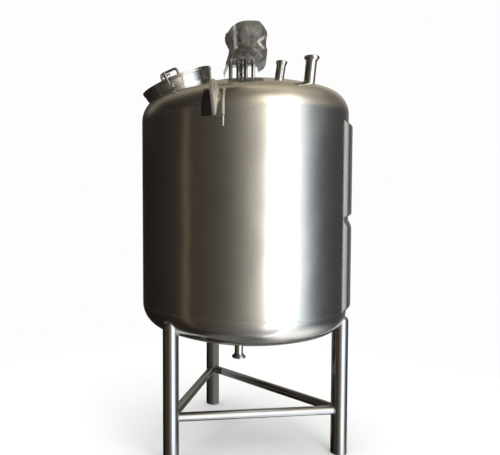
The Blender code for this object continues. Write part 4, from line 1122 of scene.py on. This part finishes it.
for side in ("front", "back"):
    rounded_copy("lifting_lug_" + side, "tank", BASE_STEEL, 0.0035, segments=4)
rounded_copy("lid_ear", "lid", CAST_STEEL, 0.0012)
rounded_copy("lid_arm", "lid", CAST_STEEL, 0.0010)
rounded_copy("hinge_bracket", "tank", CAST_STEEL, 0.0012)
rounded_copy("hinge_pin", "tank", POLISHED, 0.0008)
rounded_copy("clamp_bracket", "tank", CAST_STEEL, 0.0012)
rounded_copy("clamp_pin", "tank", POLISHED, 0.0008)
rounded_copy("drive_plate", "tank", SATIN, 0.0015)
rounded_copy("impeller", "agitator", SATIN, 0.0010)
print("rounded", [(n, t) for n, t in MADE.items() if n.endswith("_form")])

# %% [markdown]
# ## Nozzles and the outlet
# Each is a short polished pipe that ends in a ferrule, a conical collar that a clamp grips. The whole
# section, bore included, is one closed profile turned round the pipe's axis, and a bead joins it to the head.


# %% Ferrule-ended pipes
def ferrule(pipe, rim, top, bottom):
    """Closed section: bore, grooved face, rounded rim, conical back and pipe wall."""
    bore = pipe - 0.0028
    return soft([
        (bore, top, 0.0010), (rim - 0.0155, top, 0.0004), (rim - 0.0145, top - 0.0016, 0.0008),
        (rim - 0.0120, top - 0.0016, 0.0008), (rim - 0.0110, top, 0.0010), (rim - 0.0036, top - 0.0004, 0.0050),
        (rim, top - 0.0070, 0.0060), (rim - 0.0018, top - 0.0125, 0.0060), (pipe, top - 0.026, 0.0100),
        (pipe, (top + bottom) / 2), (pipe, bottom, 0.0006), (bore, bottom, 0.0006),
    ], 5, closed=True)


PIPE_STEPS, PIPE_REACH, PIPE_BEAD = 96, 0.10, 0.0020


def pipe_seam(place, radius):
    """The weld where a pipe's wall enters the vessel, going down its local Z axis."""
    b = full_turn(PIPE_STEPS)
    entry = meet(lambda share: placed(ring(radius, PIPE_REACH / 2 - PIPE_REACH * share, b), place), PIPE_STEPS)
    return bead(entry, PIPE_BEAD, (0.1, 0.0, 1.0))


for name, at in NOZZLES.items():
    section = ferrule(at["pipe"], at["rim"], at["length"], -0.030)
    piece(name + "_skin", [revolve(section, at["place"], 96)], "tank", POLISHED, (name,), "polished_steel")
    weld(name + "_weld", [pipe_seam(at["place"], at["pipe"])], "polished_steel")
section = ferrule(OUTLET_PIPE, OUTLET_RIM, OUTLET_LENGTH, -0.006)
piece("outlet_pipe_skin", [revolve(section, OUTLET, 96)], "tank", POLISHED, ("outlet_pipe",), "polished_steel")
weld("outlet_pipe_weld", [pipe_seam(OUTLET, OUTLET_PIPE)], "polished_steel")
print("nozzles", MADE["inlet_nozzle_skin"], MADE["outlet_pipe_skin"])

# %% [markdown]
# ## The stirrer drive
# A lantern of four posts on a base ring carries the gearbox, with the motor lying towards the front right.
# Under the film its details still show as dark shapes: cooling fins, a cowl with rings of
# slots, a flange with its bolts, and a terminal box with a lid.

# %% Lantern and shaft
BASE_RADIUS, BASE_TOP = 0.105, 2.172
PLATE_BOTTOM, POST_RADIUS, POST_CIRCLE, POST_TURN = 2.290, 0.0115, 0.070, 18.6
foot_height = crown_height(BASE_RADIUS, 0.0)
base = soft([
    (0.0165, BASE_TOP, 0.0008), (BASE_RADIUS, BASE_TOP, 0.0025), (BASE_RADIUS, foot_height - 0.002, 0.0),
    (0.0165, foot_height - 0.002, 0.0),
], 4, closed=True)
gland = soft([
    (0.0165, BASE_TOP, 0.0), (0.0300, BASE_TOP, 0.0005), (0.0300, BASE_TOP + 0.010, 0.0015),
    (0.0240, BASE_TOP + 0.012, 0.0015), (0.0230, BASE_TOP + 0.022, 0.0020), (0.0165, BASE_TOP + 0.022, 0.0005),
], 4, closed=True)
piece("drive_base_skin", [revolve(base, None, 120), revolve(gland, None, 72)], "tank", BASE_STEEL, ("drive_base",))
weld("drive_base_weld", [bead(ring(BASE_RADIUS, foot_height, full_turn(192)), 0.0022, (0.0, 0.0, 1.0))])
low, high = BASE_TOP + GAP, PLATE_BOTTOM - GAP
post = soft([
    (0.0, low), (0.0150, low, 0.0008), (0.0150, low + 0.009, 0.0015), (POST_RADIUS, low + 0.0105, 0.001),
    (POST_RADIUS, (low + high) / 2), (POST_RADIUS, high - 0.0105, 0.001), (0.0150, high - 0.009, 0.0015),
    (0.0150, high, 0.0008), (0.0, high),
], 4)
for number in range(4):
    spot = outward(POST_TURN + 90.0 * number) * POST_CIRCLE
    node = "lantern_post_%d" % (number + 1)
    part = revolve(post, Matrix.Translation(spot), 40)
    piece(node + "_skin", [part], "tank", POLISHED, (node,), "polished_steel")
shaft = soft([
    (0.0, 0.690), (0.0150, 0.690, 0.002), (0.0150, 1.4), (0.0150, 2.200), (0.0150, 2.216, 0.0005),
    (0.0142, 2.217, 0.0004), (0.0142, 2.220, 0.0004), (0.0150, 2.221, 0.0005), (0.0150, 2.304, 0.001), (0.0, 2.304),
], 3)
piece("agitator_shaft_skin", [revolve(shaft, None, 56)], "agitator", POLISHED, ("agitator_shaft",), "polished_steel")
print("lantern post", MADE["lantern_post_1_skin"])

# %% Gearbox and flange
DRIVE = Matrix.Rotation(radians(13.0), 4, "Z")
MOTOR_HEIGHT, GEARBOX_SIDE = 2.376, 0.128
rounded_copy("gearbox", "tank", PAINT, 0.0020)
face = GEARBOX_SIDE / 2 + GAP
forward_place = DRIVE @ frame_at((0.0, -face, MOTOR_HEIGHT), (1.0, 0.0, 0.0), (0.0, -1.0, 0.0))
bolts = []
nut = soft([
    (0.0, 0.0), (0.0062, 0.0), (0.0062, 0.0045, 0.001), (0.0035, 0.0048), (0.0035, 0.0078, 0.0008), (0.0, 0.0078),
], 3)
for number in range(4):
    turn = radians(45.0 + 90.0 * number)
    top_place = DRIVE @ Matrix.Translation((0.082 * cos(turn), 0.082 * sin(turn), 2.3043))
    bolts.append(revolve(nut, top_place, 6))
piece("plate_bolts", bolts, "tank", POLISHED, slot="polished_steel", sharp=30.0)
print("gearbox", MADE["gearbox_form"])

# %% Finned motor and slotted cowl
MOTOR_RADIUS, MOTOR_LENGTH, FINS = 0.070, 0.150, 40
rows = np.concatenate([[0.0], np.linspace(0.0, 0.012, 5), np.linspace(0.014, 0.148, 24), [0.150, 0.150]])
around = full_turn(FINS * 8)
smooth_radius = np.interp(rows, [0.0, 0.012, 0.150], [0.058, MOTOR_RADIUS, MOTOR_RADIUS])
groove = np.clip(np.sin(around * FINS) * 1.6 + 0.3, -1.0, 1.0) * 0.5 - 0.5
deep = np.where((rows > 0.016) & (rows < 0.142), 0.0075, 0.0)[:, None]
radius = smooth_radius[:, None] + groove[None] * deep
radius[0] = radius[-1] = 0.0
grid = np.stack([radius * np.cos(around), radius * np.sin(around), np.repeat(rows[:, None], len(around), 1)], -1)
motor = surface(placed(grid, forward_place), wrap=True)
piece("motor_body_skin", [motor], "tank", PAINT, ("motor_body",), "drive_paint", sharp=35.0)
start, end = MOTOR_LENGTH + GAP, MOTOR_LENGTH + 0.038
cowl = [(0.0, start), (0.076, start, 0.001), (0.076, end, 0.012)]
for inner in (0.058, 0.046, 0.034, 0.022):
    cowl += [(inner + 0.003, end, 0.0008), (inner + 0.002, end - 0.006, 0.0008)]
    cowl += [(inner - 0.002, end - 0.006, 0.0008), (inner - 0.003, end, 0.0008)]
cowl += [(0.012, end, 0.001), (0.010, end, 0.001), (0.0, end)]
piece("fan_cowl_skin", [revolve(soft(cowl, 3), forward_place, 96)], "tank", DARK_PAINT, ("fan_cowl",), "drive_paint")
rounded_copy("terminal_box", "tank", PAINT, 0.0010)
print("motor", MADE["motor_body_skin"], "cowl", MADE["fan_cowl_skin"])

# %% [markdown]
# ## The clear film
# A sheet of thin film is thrown over the drive and pulled round it, and it falls in sharp creases. It is drawn
# as a bag: its left, right, front and back edges are given at several heights, a rounded rectangle joins
# them, and the top closes over the cowl. Creases are sharp folds, the absolute value of sine waves that run in
# several directions, and they grow where the film hangs free.

# %% Film shape
FILM_TOP = 2.4560
FILM_MIDDLE = np.array((-0.004, -0.0915, 2.36))
heights = np.array([2.150, 2.190, 2.230, 2.285, 2.320, 2.363, 2.400, 2.425])
film_left = np.array([-0.112, -0.112, -0.110, -0.098, -0.092, -0.082, -0.100, -0.107])
film_right = np.array([0.070, 0.082, 0.098, 0.104, 0.100, 0.0975, 0.102, 0.096])
film_front = np.array([-0.225, -0.245, -0.262, -0.268, -0.266, -0.268, -0.268, -0.266])
film_back = np.array([0.080, 0.086, 0.090, 0.086, 0.078, 0.080, 0.086, 0.084])
COLUMNS, CAP_ROWS, SIDE_ROWS = 260, 60, 110
theta = full_turn(COLUMNS)
east, north = np.cos(theta), np.sin(theta)


def near_turn(azimuth, width, power):
    """1 at an angle round the film, and less away from it: e to the minus (radians away / width) ** power."""
    return np.exp(-((np.angle(np.exp(1j * (theta - radians(azimuth)))) / width) ** power))


leftness = np.clip(-east, 0.0, 1.0) ** 2
rightness = np.clip(east, 0.0, 1.0) ** 2
shoulder = FILM_TOP - 0.006 - 0.016 * leftness - 0.062 * rightness - 0.016 * near_turn(-45.0, 0.5, 2)
pocket, curtain, front = near_turn(-54.0, 0.58, 4), near_turn(158.0, 0.50, 4), near_turn(-108.0, 0.75, 4)
rim = 2.272 - 0.088 * np.maximum(pocket, curtain) - 0.027 * front * (1.0 - pocket)
rim += 0.006 * np.sin(theta * 7.0) + 0.003 * np.sin(theta * 19.0 + 1.0)


def film_outline(z):
    """A rounded rectangle at each height: middle + half width * sign(cos) |cos|^0.6, and the same with sin."""
    edges = [np.interp(z, heights, side) for side in (film_left, film_right, film_front, film_back)]
    middle_x, half_x = (edges[0] + edges[1]) / 2, (edges[1] - edges[0]) / 2
    middle_y, half_y = (edges[2] + edges[3]) / 2, (edges[3] - edges[2]) / 2
    x = middle_x + half_x * np.sign(east) * np.abs(east) ** 0.6
    y = middle_y + half_y * np.sign(north) * np.abs(north) ** 0.6
    return x, y


cap = np.linspace(0.0, 1.0, CAP_ROWS)[:, None]
edge_x, edge_y = film_outline(shoulder)
cap_x = FILM_MIDDLE[0] + cap * (edge_x - FILM_MIDDLE[0])
cap_y = FILM_MIDDLE[1] + cap * (edge_y - FILM_MIDDLE[1])
cap_z = FILM_TOP - (FILM_TOP - shoulder) * cap**2
fall = np.linspace(0.0, 1.0, SIDE_ROWS)[1:, None]
side_z = shoulder + (rim - shoulder) * fall
side_x, side_y = film_outline(side_z)
film_grid = np.stack([
    np.concatenate([cap_x, side_x]), np.concatenate([cap_y, side_y]), np.concatenate([cap_z, side_z])
], -1)
print("film grid", film_grid.shape)


# %% Film creases
def folds(points, waves):
    """Sharp folds: the sum of size * (1 - 2 |sin(k . p + phase + bend)|), the bend being a slow sine."""
    total = np.zeros(points.shape[:2])
    for size, direction, phase in waves:
        ahead = points @ np.array(direction)
        bend = 1.3 * np.sin(points @ np.array((direction[1], direction[2], direction[0])) * 0.45 + phase)
        total += size * (1.0 - 2.0 * np.abs(np.sin(ahead + phase + bend)))
    return total


WAVES = [
    (0.0046, (21.0, 9.0, 27.0), 0.3), (0.0040, (-24.0, 19.0, 17.0), 1.9), (0.0030, (13.0, -31.0, 34.0), 2.7),
    (0.0024, (61.0, 33.0, -26.0), 0.9), (0.0016, (-47.0, 62.0, 51.0), 4.1), (0.0014, (88.0, -40.0, 36.0), 2.2),
]
away = film_grid - FILM_MIDDLE
away /= np.linalg.norm(away, axis=2, keepdims=True)
down = np.concatenate([cap[:, 0] ** 2 * 0.45, 0.45 + 0.55 * np.minimum(fall[:, 0] * 2.5, 1.0)])[:, None]
crease = folds(film_grid, WAVES) * down + 0.0010 * down
crease = np.where(crease < 0.0, crease * 0.35, crease)
film_grid = film_grid + away * crease[..., None]
film_points, film_cells = surface(placed(film_grid, DRIVE), wrap=True)
print("crease height %.1f to %.1f mm" % (crease.min() * 1000, crease.max() * 1000))


# %% Film material
# Painted highlights: a light streak and a V-shaped glint along the film's pleats. Each stroke is a start and an end
# (x, z), a width and a strength.
PLEAT_GLINTS = [
    ((-0.042, 2.440), (-0.034, 2.316), 0.016, 0.75), ((0.128, 2.366), (0.088, 2.333), 0.011, 1.0),
    ((0.088, 2.333), (0.117, 2.303), 0.011, 1.0), ((0.066, 2.292), (0.105, 2.262), 0.012, 0.3),
]


def glint_distance(x, z, start, end):
    """How far a point is, seen from the front, from the line of one painted glint along a pulled pleat."""
    run, climb = end[0] - start[0], end[1] - start[1]
    share = ((x - start[0]) * run + (z - start[1]) * climb) * (1.0 / (run * run + climb * climb))
    share = share.most(0.0)
    share = share.math("MINIMUM", share, 1.0)
    across, up = x - start[0] - share * run, z - start[1] - share * climb
    return (across * across + up * up).power(0.5)


def clear_film():
    """Clear film in several layers: glossy and smoky over the drive, and thin towards its lower edge. Along its pleats
    a painted highlight lightens it and makes it less clear.
    """
    made, recipe = new_finish("clear_film")
    place = recipe.add("TexCoord", output="Object")
    crinkle = recipe.add(
        "TexVoronoi", {"feature": "DISTANCE_TO_EDGE"}, {"Vector": place, "Scale": 19.0}, output="Distance"
    )
    small = recipe.noise(place, 34.0, 3.0, 0.6)
    line = recipe.fade(crinkle + (small - 0.5) * 0.08, 0.0, 0.05, 1.0, 0.0)
    haze = recipe.fade(recipe.noise(place, 17.0, 3.0, 0.6), 0.36, 0.68)
    x, y, z = place.split()
    # Painted glint: near each stroke the film is lighter and less clear.
    painted_glint = 0.0
    for start, end, width, strength in PLEAT_GLINTS:
        near = glint_distance(x, z, start, end) + (small - 0.5) * width * 2.4
        painted_glint = recipe.fade(near, 0.0, width, strength, 0.0).most(painted_glint)
    painted_glint = painted_glint * recipe.fade(y, -0.06, -0.02, 1.0, 0.0)
    layers = recipe.fade(z, 2.250, 2.330).most(recipe.fade(x * 0.8 - y * 0.5, -0.03, 0.09))
    alpha = 0.38 + layers * 0.46 + haze * 0.08 + line * 0.04 + painted_glint * 0.2
    colour = recipe.blend((0.055, 0.049, 0.041), (0.25, 0.235, 0.21), haze * 0.42 + line * 0.12)
    colour = recipe.blend(colour, (0.52, 0.50, 0.475), painted_glint)
    height = small * 0.0016 - line * 0.0004
    bump = recipe.add("Bump", inputs={"Strength": 0.8, "Distance": 1.0, "Height": height}, output="Normal")
    inputs = {"Base Color": colour, "Roughness": 0.24, "Alpha": alpha, "Normal": bump, "IOR": 1.5}
    return close(made, recipe, recipe.add("BsdfPrincipled", inputs=inputs))


FILM = clear_film()
film = piece("film_sheet", [(film_points, film_cells)], "tank", FILM, ("film_wrap",), "clear_film", sharp=180.0)

# %% [markdown]
# ## Leftover CAD nodes
# Every node that shows has a piece of its own by now. Any that is left takes the steel its slot names.

# %% Finishes for the nodes that stay
SLOTS = {
    "satin_steel": SATIN, "head_steel": HEAD_STEEL, "jacket_steel": JACKET_STEEL, "leg_steel": LEG_STEEL,
    "polished_steel": POLISHED, "drive_paint": PAINT, "clear_film": FILM,
}
left = []
for name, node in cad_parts.items():
    if node.hide_render:
        continue
    left.append(name)
    for slot in node.material_slots:
        slot.material = SLOTS.get(slot.material.name.split(".")[0] if slot.material else "", SATIN)
print("CAD nodes that still show:", left)

# %% Sizes and finish
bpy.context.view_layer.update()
print("triangles in all", sum(MADE.values()), "most in", max(MADE, key=MADE.get), max(MADE.values()))
